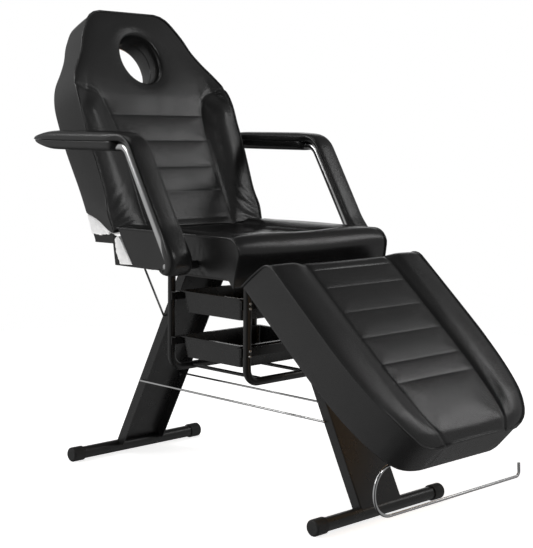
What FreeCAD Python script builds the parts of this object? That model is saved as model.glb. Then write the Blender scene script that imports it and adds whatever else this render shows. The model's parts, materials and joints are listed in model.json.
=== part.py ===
import FreeCAD, Part
import math
import os
import re
import Sketcher

# A facial treatment bed: a seat on two channel-section legs, a reclining backrest with a
# face hole, a lifting footrest with a paper-roll holder, two swinging armrests and two
# sliding trays. Millimetres; +X is the sitter's left, -Y the footrest end, +Z up.
# The origin lies on the floor, under the middle of the bed.

V = FreeCAD.Vector
SIDES = (("left", 1), ("right", -1))

SIZES = {
    # floor tubes, their rubber caps and the two legs
    "floor_z": 21, "floor_r": 18, "floor_wall": 2, "floor_half": 250,
    "cap_r": 21.5, "cap_len": 40, "cap_end": 3,
    "rear_foot_y": 579, "front_foot_y": -406,
    "leg_half": 80, "leg_wall": 3, "leg_low_z": 28,
    "rear_leg_low_y": 584, "rear_leg_top_y": 291, "rear_leg_deep": 36, "rear_cross_y": 249,
    "front_leg_low_y": -420, "front_leg_top_y": -142, "front_leg_deep": 33, "front_cross_y": -125,
    "leg_plate": 4, "leg_plate_half": 32,
    "leg_bolt_r": 4, "leg_bolt_x": 55, "leg_bolt_len": 20, "leg_head_r": 7, "leg_head": 5,
    "leg_fold_r": 4,
    # chrome tie rods low down and brace rods high up
    "rod_r": 3, "rod_x": 87, "rod_end": 8, "rod_nut_r": 6, "rod_nut": 5,
    "tie_z": 242.5, "tie_rear_y": 458, "tie_front_y": -288,
    "brace_low_y": 350, "brace_low_z": 451, "brace_top_x": 243, "brace_top_y": 246,
    "brace_top_z": 606,
    # seat frame, board and cushion
    "pan_z": 615, "rail_x": 160, "rail_side": 25, "rail_wall": 2,
    "rail_front_y": -138, "rail_rear_y": 261.5,
    "board": 15, "seat_half": 285, "seat_skin": 13,
    "seat_top_z": 718, "seat_front_y": -174, "seat_front_z": 678, "seat_nose_r": 38,
    "seat_low_y": -152, "seat_low_z": 594, "seat_flat_y": 224,
    "seat_rear_top_y": 326, "seat_rear_low_y": 245, "seat_edge_r": 10,
    # backrest, in its own lying-down frame about the hinge pin
    "back_angle": 64.75, "back_pivot_y": 344, "back_pivot_z": 684,
    "back_face": 29.4, "back_deep": 103, "back_len": 710.4,
    "back_end_front": 24, "back_end_rear": 107,
    "back_hip_half": 284, "back_chest_half": 295, "back_shoulder_half": 272,
    "back_neck_half": 206, "back_head_half": 192, "back_crown_half": 150, "back_top_half": 110,
    "back_chest_y": 412, "back_shoulder_y": 492, "back_neck_y": 588,
    "back_head_y": 628, "back_crown_y": 692,
    "face_y": 556, "face_half_w": 75, "face_half_l": 86, "face_liner": 4,
    "board_inset": 10,
    # footrest, in its own lying-down frame about its hinge pins
    "foot_angle": 41.7, "foot_pivot_y": -157, "foot_pivot_z": 583,
    "foot_face": 135, "foot_deep": 100, "foot_end": 625, "foot_start": 31, "foot_start_low": 10,
    "foot_half": 288, "foot_taper_y": 390, "foot_taper_half": 282,
    "foot_mid_y": 490, "foot_mid_half": 266, "foot_low_y": 585, "foot_low_half": 232,
    "foot_tip_half": 170,
    # hinge plates and pins
    "plate": 4, "hinge_gap": 0.5, "pin_r": 4, "pin_play": 0.05, "pin_head_r": 7, "pin_head": 2.5,
    "back_plate_x": 267.5, "foot_plate_x": 198,
    "screw_r": 2.5, "screw_head_r": 5, "screw_head": 3, "screw_len": 14,
    # armrests
    "arm_x": 360, "arm_half": 42, "arm_seam_z": 957.5, "arm_top_z": 984,
    "arm_bar_half": 24, "arm_bar_deep": 24, "arm_bar_wall": 2, "arm_bend_r": 40,
    "arm_pivot_y": -10, "arm_pivot_z": 642, "arm_bolt_r": 4, "arm_nut_r": 7.5, "arm_nut": 7,
    "arm_head": 6, "spacer_r": 11,
    "arm_elbow_y": 165, "arm_bar_z": 945, "arm_bar_end_y": 490, "arm_under_y": 206,
    "arm_tip_y": 570, "arm_mount_low_x": 215, "arm_mount_x": 262, "arm_mount_half": 30,
    "arm_mount_top_z": 676,
    # tray rack and trays
    "hoop_r": 11, "hoop_wall": 1.5, "hoop_half": 160, "hoop_low_z": 322, "hoop_bend": 38,
    "rear_hoop_y": 229, "front_hoop_y": -76, "rack_brace_x": 85, "rack_brace_r": 5,
    "tray_rim_half": 158, "tray_half": 150, "tray_floor_half": 141, "tray_rim": 3,
    "tray_y": 76.5, "tray_rim_wide": 127, "tray_wide": 119, "tray_floor_wide": 111,
    "tray_deep": 61, "tray_wall": 2.5, "tray_corner_r": 10, "upper_tray_z": 544, "lower_tray_z": 417,
    "rail_gap": 0.4, "runner": 2.5, "runner_wide": 18, "runner_tall": 24, "runner_screw_r": 4,
    # paper-roll holder under the footrest's lower end
    "holder_r": 4, "holder_y": -614, "holder_top_z": 214, "holder_low_z": 90,
    "holder_inner_x": 55, "holder_loop_x": 266, "holder_reach": 305, "holder_tip_z": 126,
    "clip_wide": 24, "clip_long": 40, "clip_thick": 2,
}

doc = FreeCAD.newDocument("FacialBed")
sheet = doc.addObject("Spreadsheet::Sheet", "Sizes")
for row, (alias, size) in enumerate(SIZES.items(), start=1):
    sheet.set(f"A{row}", alias)
    sheet.set(f"B{row}", str(size))
    sheet.setAlias(f"B{row}", alias)
doc.recompute()

parts = []


RUNNER_SCREW_DROPS = (5, 19)
HINGE_SCREW_STEPS = {"back": (18, 38, 58), "foot": (50, 90, 130)}
CLIP_X = (-180, -90)
CLIP_SCREW_SHIFTS = (-14, 14)


# ---- formulas, bodies and sketches -------------------------------------------------------

def bind(formula):
    """The formula with the sheet's name before each of its aliases."""
    def named(match):
        word = match.group()
        return f"Sizes.{word}" if word in SIZES else word
    return re.sub(r"[a-z][a-z_]*", named, str(formula))


def value(formula):
    """The number that a formula of the sheet's aliases comes to."""
    number = sheet.evalExpression(str(formula))
    return float(getattr(number, "Value", number))


def new_body(label):
    """An empty PartDesign body that becomes one sub-part."""
    body = doc.addObject("PartDesign::Body", label)
    body.Label = label
    parts.append(body)
    return body


def new_sketch(body, role, offset="0"):
    """A sketch on one of the body's origin planes, moved along X, Y or Z by the offset."""
    sketch = body.newObject("Sketcher::SketchObject", f"{body.Name}_sketch")
    plane = next(item for item in body.Origin.OriginFeatures if item.Role == role)
    sketch.AttachmentSupport = (plane, [""])
    sketch.MapMode = "FlatFace"
    direction = -1 if role == "XZ_Plane" else 1
    sketch.setExpression("AttachmentOffset.Base.z", bind(f"{direction} * ({offset})"))
    return sketch


def pin(sketch, geometry, end, point):
    """Hold one end of a sketch's geometry at a pair of formulas."""
    for kind, formula in zip(("DistanceX", "DistanceY"), point):
        index = sketch.addConstraint(
            Sketcher.Constraint(kind, -1, 1, geometry, end, value(formula)))
        sketch.setExpression(f"Constraints[{index}]", bind(formula))


def corner(point):
    return V(value(point[0]), value(point[1]), 0)


def polygon(sketch, points):
    """A closed outline through the points."""
    count = len(points)
    first = sketch.GeometryCount
    for index, point in enumerate(points):
        line = Part.LineSegment(corner(point), corner(points[(index + 1) % count]))
        sketch.addGeometry(line, False)
    for index, point in enumerate(points):
        following = first + (index + 1) % count
        sketch.addConstraint(Sketcher.Constraint("Coincident", first + index, 2, following, 1))
        pin(sketch, first + index, 1, point)
    return sketch


def rectangle(sketch, low_x, low_y, high_x, high_y):
    return polygon(sketch, [(low_x, low_y), (high_x, low_y), (high_x, high_y), (low_x, high_y)])


def circle(sketch, x, y, radius):
    """A circle with its centre held at a pair of formulas."""
    geometry = sketch.addGeometry(
        Part.Circle(corner((x, y)), V(0, 0, 1), value(radius)), False)
    pin(sketch, geometry, 3, (x, y))
    index = sketch.addConstraint(Sketcher.Constraint("Radius", geometry, value(radius)))
    sketch.setExpression(f"Constraints[{index}]", bind(radius))
    return sketch


def ring(sketch, x, y, radius, wall):
    circle(sketch, x, y, radius)
    return circle(sketch, x, y, f"{radius} - {wall}")


def stadium(sketch, x, y, radius, reach, upright):
    """Two half circles, their centres the reach to each side of x, y, and the lines between.

    The centres stand one above the other if upright, or else side by side."""
    size = value(radius)
    arcs = []
    for side in (1, -1):
        if upright:
            centre = (x, f"({y}) + {side} * ({reach})")
            start = (f"({x}) + {side} * ({radius})", centre[1])
            angle = math.pi * (1 - side) / 2
        else:
            centre = (f"({x}) + {side} * ({reach})", y)
            start = (centre[0], f"({y}) - {side} * ({radius})")
            angle = -side * math.pi / 2
        whole = Part.Circle(corner(centre), V(0, 0, 1), size)
        arc = sketch.addGeometry(Part.ArcOfCircle(whole, angle, angle + math.pi), False)
        arcs.append((arc, centre, start))
    for (arc, _, _), (following, _, start) in zip(arcs, reversed(arcs)):
        side_line = Part.LineSegment(sketch.getPoint(arc, 2), corner(start))
        line = sketch.addGeometry(side_line, False)
        sketch.addConstraint(Sketcher.Constraint("Coincident", arc, 2, line, 1))
        sketch.addConstraint(Sketcher.Constraint("Coincident", line, 2, following, 1))
    for arc, centre, start in arcs:
        pin(sketch, arc, 3, centre)
        pin(sketch, arc, 1, start)
    return sketch


def bent_path(sketch, points, radius):
    """Straight runs between the points, joined by tangent arcs of one radius."""
    corners = [corner(point) for point in points]
    bend = value(radius)
    start = corners[0]
    lines, arcs = [], []
    for before, here, after in zip(corners, corners[1:], corners[2:]):
        back = (before - here).normalize()
        ahead = (after - here).normalize()
        half_turn = math.acos(back.dot(ahead)) / 2
        reach = bend / math.tan(half_turn)
        centre = here + (back + ahead).normalize() * (bend / math.sin(half_turn))
        first, last = here + back * reach, here + ahead * reach
        lines.append(sketch.addGeometry(Part.LineSegment(start, first), False))
        turns_left = (here - before).cross(after - here).z > 0
        rays = (first - centre, last - centre) if turns_left else (last - centre, first - centre)
        angles = [math.atan2(ray.y, ray.x) for ray in rays]
        whole = Part.Circle(centre, V(0, 0, 1), bend)
        arc = sketch.addGeometry(Part.ArcOfCircle(whole, angles[0], angles[1]), False)
        arcs.append((arc, 1 if turns_left else 2))
        start = last
    lines.append(sketch.addGeometry(Part.LineSegment(start, corners[-1]), False))
    for index, (arc, near) in enumerate(arcs):
        mark = sketch.addGeometry(Part.Point(corners[index + 1]), True)
        pin(sketch, mark, 1, points[index + 1])
        for line, end, arc_end in ((lines[index], 2, near), (lines[index + 1], 1, 3 - near)):
            sketch.addConstraint(Sketcher.Constraint("Tangent", line, end, arc, arc_end))
            sketch.addConstraint(Sketcher.Constraint("PointOnObject", mark, 1, line))
        held = sketch.addConstraint(Sketcher.Constraint("Radius", arc, bend))
        sketch.setExpression(f"Constraints[{held}]", bind(radius))
    pin(sketch, lines[0], 1, points[0])
    pin(sketch, lines[-1], 2, points[-1])
    return sketch


# ---- features ----------------------------------------------------------------------------

def extrude(kind, body, sketch, length):
    """A Pad or Pocket, half of its length to each side of the sketch."""
    feature = body.newObject(f"PartDesign::{kind}", f"{body.Name}_{kind.lower()}")
    feature.Profile = sketch
    feature.SideType = "Symmetric"
    feature.setExpression("Length", bind(length))
    body.Tip = feature
    return feature


def pad(body, sketch, length):
    return extrude("Pad", body, sketch, length)


def pocket(body, sketch, length):
    """A Pocket that must leave less of the body than there was."""
    doc.recompute()
    before = body.Shape.Volume
    feature = extrude("Pocket", body, sketch, length)
    doc.recompute()
    if body.Shape.Volume >= before:
        raise ValueError(f"a pocket of {body.Label} cuts nothing")
    return feature


def pipe(body, profile, path):
    feature = body.newObject("PartDesign::AdditivePipe", f"{body.Name}_pipe")
    feature.Profile = profile
    feature.Spine = (path, [])
    body.Tip = feature
    return feature


def fillet(body, radius, wanted):
    """Round the edges of the body's tip whose middle point is wanted."""
    doc.recompute()
    base = body.Tip
    names = []
    for index, edge in enumerate(base.Shape.Edges, start=1):
        middle = edge.valueAt((edge.FirstParameter + edge.LastParameter) / 2)
        if wanted(middle):
            names.append(f"Edge{index}")
    if not names:
        raise ValueError(f"no edge of {body.Label} to round")
    feature = body.newObject("PartDesign::Fillet", f"{body.Name}_fillet")
    feature.Base = (base, names)
    feature.setExpression("Radius", bind(radius))
    body.Tip = feature
    return feature


def block(body, low, high):
    """A box between two corners, as a pad of the body."""
    sketch = rectangle(new_sketch(body, "XY_Plane", f"(({low[2]}) + ({high[2]})) / 2"),
                       low[0], low[1], high[0], high[1])
    return pad(body, sketch, f"({high[2]}) - ({low[2]})")


def cavity(body, low, high):
    """A box between two corners, cut from the body."""
    sketch = rectangle(new_sketch(body, "XY_Plane", f"(({low[2]}) + ({high[2]})) / 2"),
                       low[0], low[1], high[0], high[1])
    return pocket(body, sketch, f"({high[2]}) - ({low[2]})")


def joined(label, shapes):
    """A sub-part of several separate solids, such as a set of bolts or caps."""
    feature = doc.addObject("Part::Feature", label)
    feature.Label = label
    feature.Shape = Part.makeCompound(shapes)
    feature.Placement = FreeCAD.Placement()
    parts.append(feature)
    return feature


def rod(start, end, radius):
    """A round bar between two points."""
    along = end - start
    return Part.makeCylinder(radius, along.Length, start, along)


def hexagon(centre, direction, radius, height):
    """A six-sided nut or bolt head that starts at the centre."""
    turn = FreeCAD.Rotation(V(0, 0, 1), direction)
    ends = [centre + turn.multVec(V(radius * math.cos(step * math.pi / 3),
                                    radius * math.sin(step * math.pi / 3), 0))
            for step in range(6)]
    face = Part.Face(Part.makePolygon(ends + ends[:1]))
    return face.extrude(V(direction).normalize() * height)


def screw(head_at, direction):
    """A pan-head screw: its head stands behind head_at, its shank runs along direction."""
    back = V(direction).normalize() * -value("screw_head")
    shank = V(direction).normalize() * value("screw_len")
    head = rod(head_at + back, head_at, value("screw_head_r"))
    return head.fuse(rod(head_at, head_at + shank, value("screw_r"))).removeSplitter()


def standing(kind):
    """The placement of a sub-part made lying down about the back's or the foot's hinge."""
    return FreeCAD.Placement(V(0, value(f"{kind}_pivot_y"), value(f"{kind}_pivot_z")),
                             FreeCAD.Rotation(V(1, 0, 0), value(f"{kind}_angle")))


def stand(body, kind):
    body.Placement = standing(kind)
    return body


# ---- floor tubes, legs and rods ----------------------------------------------------------

def make_floor_tube(end, foot_y):
    tube = new_body(f"{end}_floor_tube")
    pad(tube, ring(new_sketch(tube, "YZ_Plane"), foot_y, "floor_z", "floor_r", "floor_wall"),
        "2 * floor_half")


def make_floor_caps():
    """Four rubber caps over the tubes' ends, each with a narrow flat to stand on."""
    radius, length = value("cap_r"), value("cap_len")
    caps = []
    for foot in ("rear_foot_y", "front_foot_y"):
        for side in (1, -1):
            mouth = V(side * (value("floor_half") + value("cap_end") - length),
                      value(foot), value("floor_z"))
            along = V(side, 0, 0)
            cap = Part.makeCylinder(radius, length, mouth, along)
            rim = [edge for edge in cap.Edges
                   if abs(edge.BoundBox.Center.x - mouth.x) > length - 1 and edge.Closed]
            cap = cap.makeFillet(value("cap_end") * 2, rim[:1])
            cap = cap.cut(Part.makeCylinder(value("floor_r"), length - value("cap_end"),
                                            mouth, along))
            caps.append(cap.cut(Part.makeBox(1200, 1200, 100, V(-600, -600, -100))))
    joined("floor_tube_caps", caps)


def make_leg(end, web_side):
    """A folded channel: the web on its outer side, both flanges towards the bed's middle."""
    low_y, top_y = f"{end}_leg_low_y", f"{end}_leg_top_y"
    deep = f"{web_side} * {end}_leg_deep"
    wall = f"{web_side} * leg_wall * 1.15"
    top_z = "pan_z - rail_side - leg_plate"
    leg = new_body(f"{end}_leg")
    outline = [(low_y, "leg_low_z"), (top_y, top_z),
               (f"{top_y} - {deep}", top_z), (f"{low_y} - {deep}", "leg_low_z")]
    pad(leg, polygon(new_sketch(leg, "YZ_Plane"), outline), "2 * leg_half")
    inside = [(f"{low_y} - {wall}", "leg_low_z"), (f"{top_y} - {wall}", top_z),
              (f"{top_y} - {deep}", top_z), (f"{low_y} - {deep}", "leg_low_z")]
    pocket(leg, polygon(new_sketch(leg, "YZ_Plane"), inside), "2 * (leg_half - leg_wall)")
    seat = circle(new_sketch(leg, "YZ_Plane"), f"{end}_foot_y", "floor_z", "floor_r")
    pocket(leg, seat, "2 * leg_half + 2")
    web = V(0, value(low_y), value("leg_low_z"))
    run = (V(0, value(top_y), value(top_z)) - web).normalize()

    def on_fold(spot):
        from_web = (V(0, spot.y, spot.z) - web).cross(run).Length
        return from_web < 1 and abs(abs(spot.x) - value("leg_half")) < 1
    fillet(leg, "leg_fold_r", on_fold)
    ends = {"rear": ["tie", "brace"], "front": ["tie"]}[end]
    for rod_name in ends:
        hole_y, hole_z = rod_foot(rod_name, end)
        hole = circle(new_sketch(leg, "YZ_Plane"), hole_y, hole_z, "rod_r")
        pocket(leg, hole, "2 * leg_half + 2")


def rod_foot(rod_name, end):
    """Where a rod's bolt goes through the leg's flanges."""
    if rod_name == "tie":
        return f"tie_{end}_y", "tie_z"
    return "brace_low_y", "brace_low_z"


def drill_leg_bolts(body, end):
    """Two bolt holes up through a leg's top plate and the cross tube over it."""
    sketch = new_sketch(body, "XY_Plane", "pan_z - rail_side")
    for side in (1, -1):
        circle(sketch, f"{side} * leg_bolt_x", f"{end}_cross_y", "leg_bolt_r")
    pocket(body, sketch, "rail_side")


def make_leg_plate(end, web_side):
    """The plate welded on a leg's top and bolted up to the seat frame."""
    plate = new_body(f"{end}_leg_top_plate")
    middle = f"({end}_leg_top_y - {web_side} * {end}_leg_deep / 2 + {end}_cross_y) / 2"
    top = "pan_z - rail_side"
    block(plate, ("-leg_half", f"{middle} - leg_plate_half", f"{top} - leg_plate"),
          ("leg_half", f"{middle} + leg_plate_half", top))
    drill_leg_bolts(plate, end)


def make_leg_bolts():
    """Four bolts, heads under the leg plates and shanks up into the cross tubes."""
    under = value("pan_z - rail_side - leg_plate")
    bolts = []
    for end in ("rear", "front"):
        for side in (1, -1):
            foot = V(side * value("leg_bolt_x"), value(f"{end}_cross_y"), under)
            shank = rod(foot, foot + V(0, 0, value("leg_bolt_len")), value("leg_bolt_r"))
            head = hexagon(foot, V(0, 0, -1), value("leg_head_r"), value("leg_head"))
            bolts.append(shank.fuse(head).removeSplitter())
    joined("leg_bolts", bolts)


def make_rods():
    """On each side a tie rod between the legs and a brace rod up to the hinge strap."""
    radius = value("rod_r")
    for name, side in SIDES:
        outside = side * value("rod_x")
        inward = V(-side * value("rod_x - leg_half + leg_wall + rod_end"), 0, 0)
        rear, front, low = (V(outside, value(y), value(z)) for y, z in
                            (rod_foot("tie", "rear"), rod_foot("tie", "front"),
                             rod_foot("brace", "rear")))
        high = V(side * value("brace_top_x"), value("brace_top_y"), value("brace_top_z"))
        strap = V(high.x, high.y, value("pan_z - plate"))
        tie = rod(rear, front, radius)
        for end in (rear, front):
            tie = tie.fuse(Part.makeSphere(radius, end)).fuse(rod(end, end + inward, radius))
        brace = rod(low, high, radius).fuse(rod(high, strap, radius))
        brace = brace.fuse(Part.makeSphere(radius, high)).fuse(Part.makeSphere(radius, low))
        brace = brace.fuse(rod(low, low + inward, radius))
        joined(f"{name}_tie_rod", tie.removeSplitter().Solids)
        joined(f"{name}_brace_rod", brace.removeSplitter().Solids)


def make_rod_nuts():
    """Domed nuts where the rods' threaded ends come through the leg flanges."""
    nuts = []
    inner = value("leg_half - leg_wall")
    for _, side in SIDES:
        for rod_name, end in (("tie", "rear"), ("tie", "front"), ("brace", "rear")):
            y, z = rod_foot(rod_name, end)
            at = V(side * inner, value(y), value(z))
            nut = hexagon(at, V(-side, 0, 0), value("rod_nut_r"), value("rod_nut"))
            nuts.append(nut.cut(rod(at, at - V(side * value("rod_end"), 0, 0), value("rod_r"))))
    joined("rod_nuts", nuts)


# ---- seat --------------------------------------------------------------------------------

def make_seat_rail(name, side):
    """A square tube under the seat board, front to rear."""
    rail = new_body(f"{name}_seat_rail")
    half, low = "rail_side / 2", "pan_z - rail_side"
    centre = f"{side} * rail_x"
    section = rectangle(new_sketch(rail, "XZ_Plane", "(rail_front_y + rail_rear_y) / 2"),
                        f"{centre} - {half}", low, f"{centre} + {half}", "pan_z")
    rectangle(section, f"{centre} - {half} + rail_wall", f"{low} + rail_wall",
              f"{centre} + {half} - rail_wall", "pan_z - rail_wall")
    pad(rail, section, "rail_rear_y - rail_front_y")


def make_cross_tube(end):
    """A square tube between the seat rails, over a leg."""
    tube = new_body(f"{end}_cross_tube")
    middle = f"{end}_cross_y"
    low = "pan_z - rail_side"
    section = rectangle(new_sketch(tube, "YZ_Plane"), f"{middle} - rail_side / 2", low,
                        f"{middle} + rail_side / 2", "pan_z")
    rectangle(section, f"{middle} - rail_side / 2 + rail_wall", f"{low} + rail_wall",
              f"{middle} + rail_side / 2 - rail_wall", "pan_z - rail_wall")
    pad(tube, section, "2 * rail_x - rail_side")
    drill_leg_bolts(tube, end)


def make_seat_board():
    board = new_body("seat_board")
    half = "seat_half - seat_skin"
    block(board, (f"-({half})", "rail_front_y", "pan_z"), (half, "seat_flat_y", "pan_z + board"))
    spots = new_sketch(board, "XY_Plane", "pan_z")
    for _, side in SIDES:
        for x, y in seat_strap_spots():
            circle(spots, f"{side} * ({x})", y, "screw_r")
    pocket(board, spots, "2 * (screw_len - plate)")


def make_seat_cushion():
    """Foam and vinyl over the board, with side skirts that hang lower at the front."""
    cushion = new_body("seat_cushion")
    outline = [("seat_low_y", "seat_low_z"), ("seat_front_y", "seat_front_z"),
               ("seat_front_y", "seat_top_z"), ("seat_rear_top_y", "seat_top_z"),
               ("seat_rear_low_y", "pan_z + 0.2"), ("seat_flat_y", "pan_z + 0.2")]
    pad(cushion, polygon(new_sketch(cushion, "YZ_Plane"), outline), "2 * seat_half")
    top_z, front_y, rear_y = (value(name) for name in
                              ("seat_top_z", "seat_front_y", "seat_rear_top_y"))
    fillet(cushion, "seat_nose_r",
           lambda spot: abs(spot.z - top_z) < 1 and abs(spot.y - front_y) < 1)
    fillet(cushion, "seat_edge_r",
           lambda spot: abs(spot.z - top_z) < 1 and abs(spot.y - rear_y) < 1)
    half = "seat_half - seat_skin"
    cavity(cushion, (f"-({half})", "rail_front_y", "seat_low_z - 20"),
           (half, "seat_flat_y", "pan_z + board"))
    for _, side in SIDES:
        low_x, high_x = sorted((side * value("arm_mount_low_x"), side * value("arm_mount_x")))
        cavity(cushion, (low_x, "arm_pivot_y - arm_mount_half", "pan_z"),
               (high_x, "arm_pivot_y + arm_mount_half", "arm_mount_top_z"))
        hole = new_sketch(cushion, "YZ_Plane", f"{side} * (seat_half + arm_mount_x) / 2")
        circle(hole, "arm_pivot_y", "arm_pivot_z", "spacer_r")
        pocket(cushion, hole, "seat_half - arm_mount_x + 1")


def make_seat_end_cloth():
    """Off-white cloth over the foam at the seat's rear end."""
    cloth = new_body("seat_end_cloth")
    outline = [("seat_rear_low_y + 2.5", "pan_z + 2"), ("seat_rear_top_y - 28", "pan_z + 2.0"),
               ("seat_rear_top_y - 2", "back_pivot_z + 4"),
               ("seat_rear_top_y - 3", "seat_top_z - 7")]
    pad(cloth, polygon(new_sketch(cloth, "YZ_Plane"), outline), "2 * (seat_half - 4)")


def make_arm_mount(name, side):
    """A steel angle on the seat board, inside the foam, that the armrest's bolt screws into."""
    mount = new_body(f"{name}_armrest_mount")
    outline = [(f"{side} * arm_mount_low_x", "pan_z + board"),
               (f"{side} * arm_mount_x", "pan_z + board"),
               (f"{side} * arm_mount_x", "arm_mount_top_z"),
               (f"{side} * (arm_mount_x - plate)", "arm_mount_top_z"),
               (f"{side} * (arm_mount_x - plate)", "pan_z + board + plate"),
               (f"{side} * arm_mount_low_x", "pan_z + board + plate")]
    pad(mount, polygon(new_sketch(mount, "XZ_Plane", "arm_pivot_y"), outline),
        "2 * arm_mount_half")
    hole = circle(new_sketch(mount, "YZ_Plane", f"{side} * arm_mount_x"),
                  "arm_pivot_y", "arm_pivot_z", "arm_bolt_r")
    pocket(mount, hole, "3 * plate")


def make_arm_spacers():
    """The sleeves between the seat's sides and the armrests' bars."""
    start = value("arm_mount_x")
    end = value("arm_x - arm_bar_half - hinge_gap")
    sleeves = []
    for _, side in SIDES:
        near, far = (V(side * x, value("arm_pivot_y"), value("arm_pivot_z"))
                     for x in (start, end))
        sleeves.append(rod(near, far, value("spacer_r")).cut(
            rod(near, far, value("arm_bolt_r"))))
    joined("armrest_spacers", sleeves)


def make_arm_bolts():
    """The two bolts that the armrests swing on, each with its nut inside the seat."""
    radius = value("arm_bolt_r")
    inner = value("arm_mount_x - plate")
    outer = value("arm_x + arm_bar_half + hinge_gap")
    bolts = []
    for _, side in SIDES:
        centre = V(0, value("arm_pivot_y"), value("arm_pivot_z"))
        along = V(side, 0, 0)
        shank = rod(centre + along * (inner - 2 * radius), centre + along * outer, radius)
        head = hexagon(centre + along * outer, along, value("arm_nut_r"), value("arm_head"))
        nut = hexagon(centre + along * inner, -along, value("arm_nut_r"), value("arm_nut"))
        bolts.append(shank.fuse(head).fuse(nut).removeSplitter())
    joined("armrest_bolts", bolts)


# ---- backrest ----------------------------------------------------------------------------

def back_outline():
    """The backrest seen from the front: hips, chest, sloping shoulders, neck and head."""
    steps = [("back_end_front - 16", "back_hip_half"), ("back_chest_y", "back_chest_half"),
             ("back_shoulder_y", "back_shoulder_half"), ("back_neck_y", "back_neck_half"),
             ("back_head_y", "back_head_half"), ("back_crown_y", "back_crown_half"),
             ("back_len", "back_top_half")]
    right = [(half, y) for y, half in steps]
    left = [(f"-{half}", y) for y, half in reversed(steps)]
    return right + left


def face_hole(body, margin="0"):
    """An oval opening for the face, through the cushion and its board."""
    sketch = new_sketch(body, "XY_Plane", "back_face - back_deep / 2")
    return stadium(sketch, "0 * face_y", "face_y", f"face_half_w + {margin}",
                   "face_half_l - face_half_w", upright=True)


def make_back_cushion():
    cushion = new_body("backrest_cushion")
    middle = "back_face - back_deep / 2"
    pad(cushion, polygon(new_sketch(cushion, "XY_Plane", middle), back_outline()), "back_deep")
    low = "back_face - back_deep"
    wedge = [("back_end_front - 40", "back_face + 1"), ("back_end_front - 1", "back_face + 1"),
             ("back_end_rear", f"{low}"), ("back_end_rear", f"{low} - 5"),
             ("back_end_front - 40", f"{low} - 5")]
    pocket(cushion, polygon(new_sketch(cushion, "YZ_Plane"), wedge), "3 * back_hip_half")
    pocket(cushion, face_hole(cushion), "back_deep + 2")
    bed = polygon(new_sketch(cushion, "XY_Plane", low), board_outline())
    pocket(cushion, bed, "2 * board")
    stand(cushion, "back")


def board_outline():
    """The backrest board: the cushion's outline, kept in from its edges."""
    steps = [("back_end_rear + 8", "back_hip_half - board_inset"),
             ("back_chest_y", "back_chest_half - board_inset"),
             ("back_shoulder_y - 4", "back_shoulder_half - board_inset"),
             ("back_neck_y - 4", "back_neck_half - board_inset"),
             ("back_head_y - 4", "back_head_half - board_inset"),
             ("back_crown_y - 8", "back_crown_half - board_inset"),
             ("back_len - board_inset", "back_top_half - board_inset / 2")]
    right = [(half, y) for y, half in steps]
    left = [(f"-({half})", y) for y, half in reversed(steps)]
    return right + left


def make_back_board():
    board = new_body("backrest_board")
    middle = "back_face - back_deep + board / 2"
    pad(board, polygon(new_sketch(board, "XY_Plane", middle), board_outline()), "board")
    pocket(board, face_hole(board), "back_deep + 2")
    drill_screws(board, "back")
    stand(board, "back")


def make_face_liner():
    """The vinyl sleeve that lines the face hole."""
    liner = new_body("face_hole_liner")
    pad(liner, face_hole(liner), "back_deep - 2")
    pocket(liner, face_hole(liner, "-face_liner"), "back_deep + 2")
    stand(liner, "back")


def make_back_end_cloth():
    """Off-white cloth over the foam at the backrest's lower end."""
    cloth = new_body("backrest_end_cloth")
    low = "back_face - back_deep"
    outline = [("back_end_front + 1", "back_face - 5"), ("back_end_rear - 1.5", low),
               ("back_end_front + 20", low), ("back_end_front + 2", "-16"),
               ("back_end_front - 5", "8")]
    pad(cloth, polygon(new_sketch(cloth, "YZ_Plane"), outline), "2 * (back_hip_half - 3)")
    stand(cloth, "back")


# ---- hinges ------------------------------------------------------------------------------

def make_back_hinge_seat_plate(name, side):
    """The seat's half of a backrest hinge: a strap under the board and an upright ear."""
    plate = new_body(f"{name}_back_hinge_seat_plate")
    inner, outer = "back_plate_x", "back_plate_x + plate"
    low_x, high_x = sorted((side * value(f"{outer} - 34"), side * value(outer)))
    block(plate, (low_x, "seat_flat_y - 34", "pan_z - plate"),
          (high_x, "back_pivot_y - 4", "pan_z"))
    ear = [("back_pivot_y - 20", "pan_z - plate"), ("back_pivot_y - 3", "pan_z - plate"),
           ("back_pivot_y + 8", "back_pivot_z - 6"), ("back_pivot_y + 8", "back_pivot_z + 6"),
           ("back_pivot_y + 3", "back_pivot_z + 9"), ("back_pivot_y - 5", "back_pivot_z + 9"),
           ("back_pivot_y - 10", "back_pivot_z")]
    pad(plate, polygon(new_sketch(plate, "YZ_Plane", f"{side} * ({inner} + plate / 2)"), ear),
        "plate")
    hole = circle(new_sketch(plate, "YZ_Plane", f"{side} * back_plate_x"),
                  "back_pivot_y", "back_pivot_z", "pin_r")
    pocket(plate, hole, "3 * plate")
    spots = new_sketch(plate, "XY_Plane", "pan_z")
    for y in seat_screw_spots():
        circle(spots, f"{side} * (back_plate_x - 14)", y, "screw_r")
    pocket(plate, spots, "3 * plate")


def seat_screw_spots():
    return ["seat_flat_y - 24", "seat_flat_y - 10"]


def back_plate_centre():
    return "back_plate_x + plate + hinge_gap + plate / 2"


def back_screw_spots():
    return [("back_plate_x - 12", f"back_end_rear + {step}") for step in HINGE_SCREW_STEPS["back"]]


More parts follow.
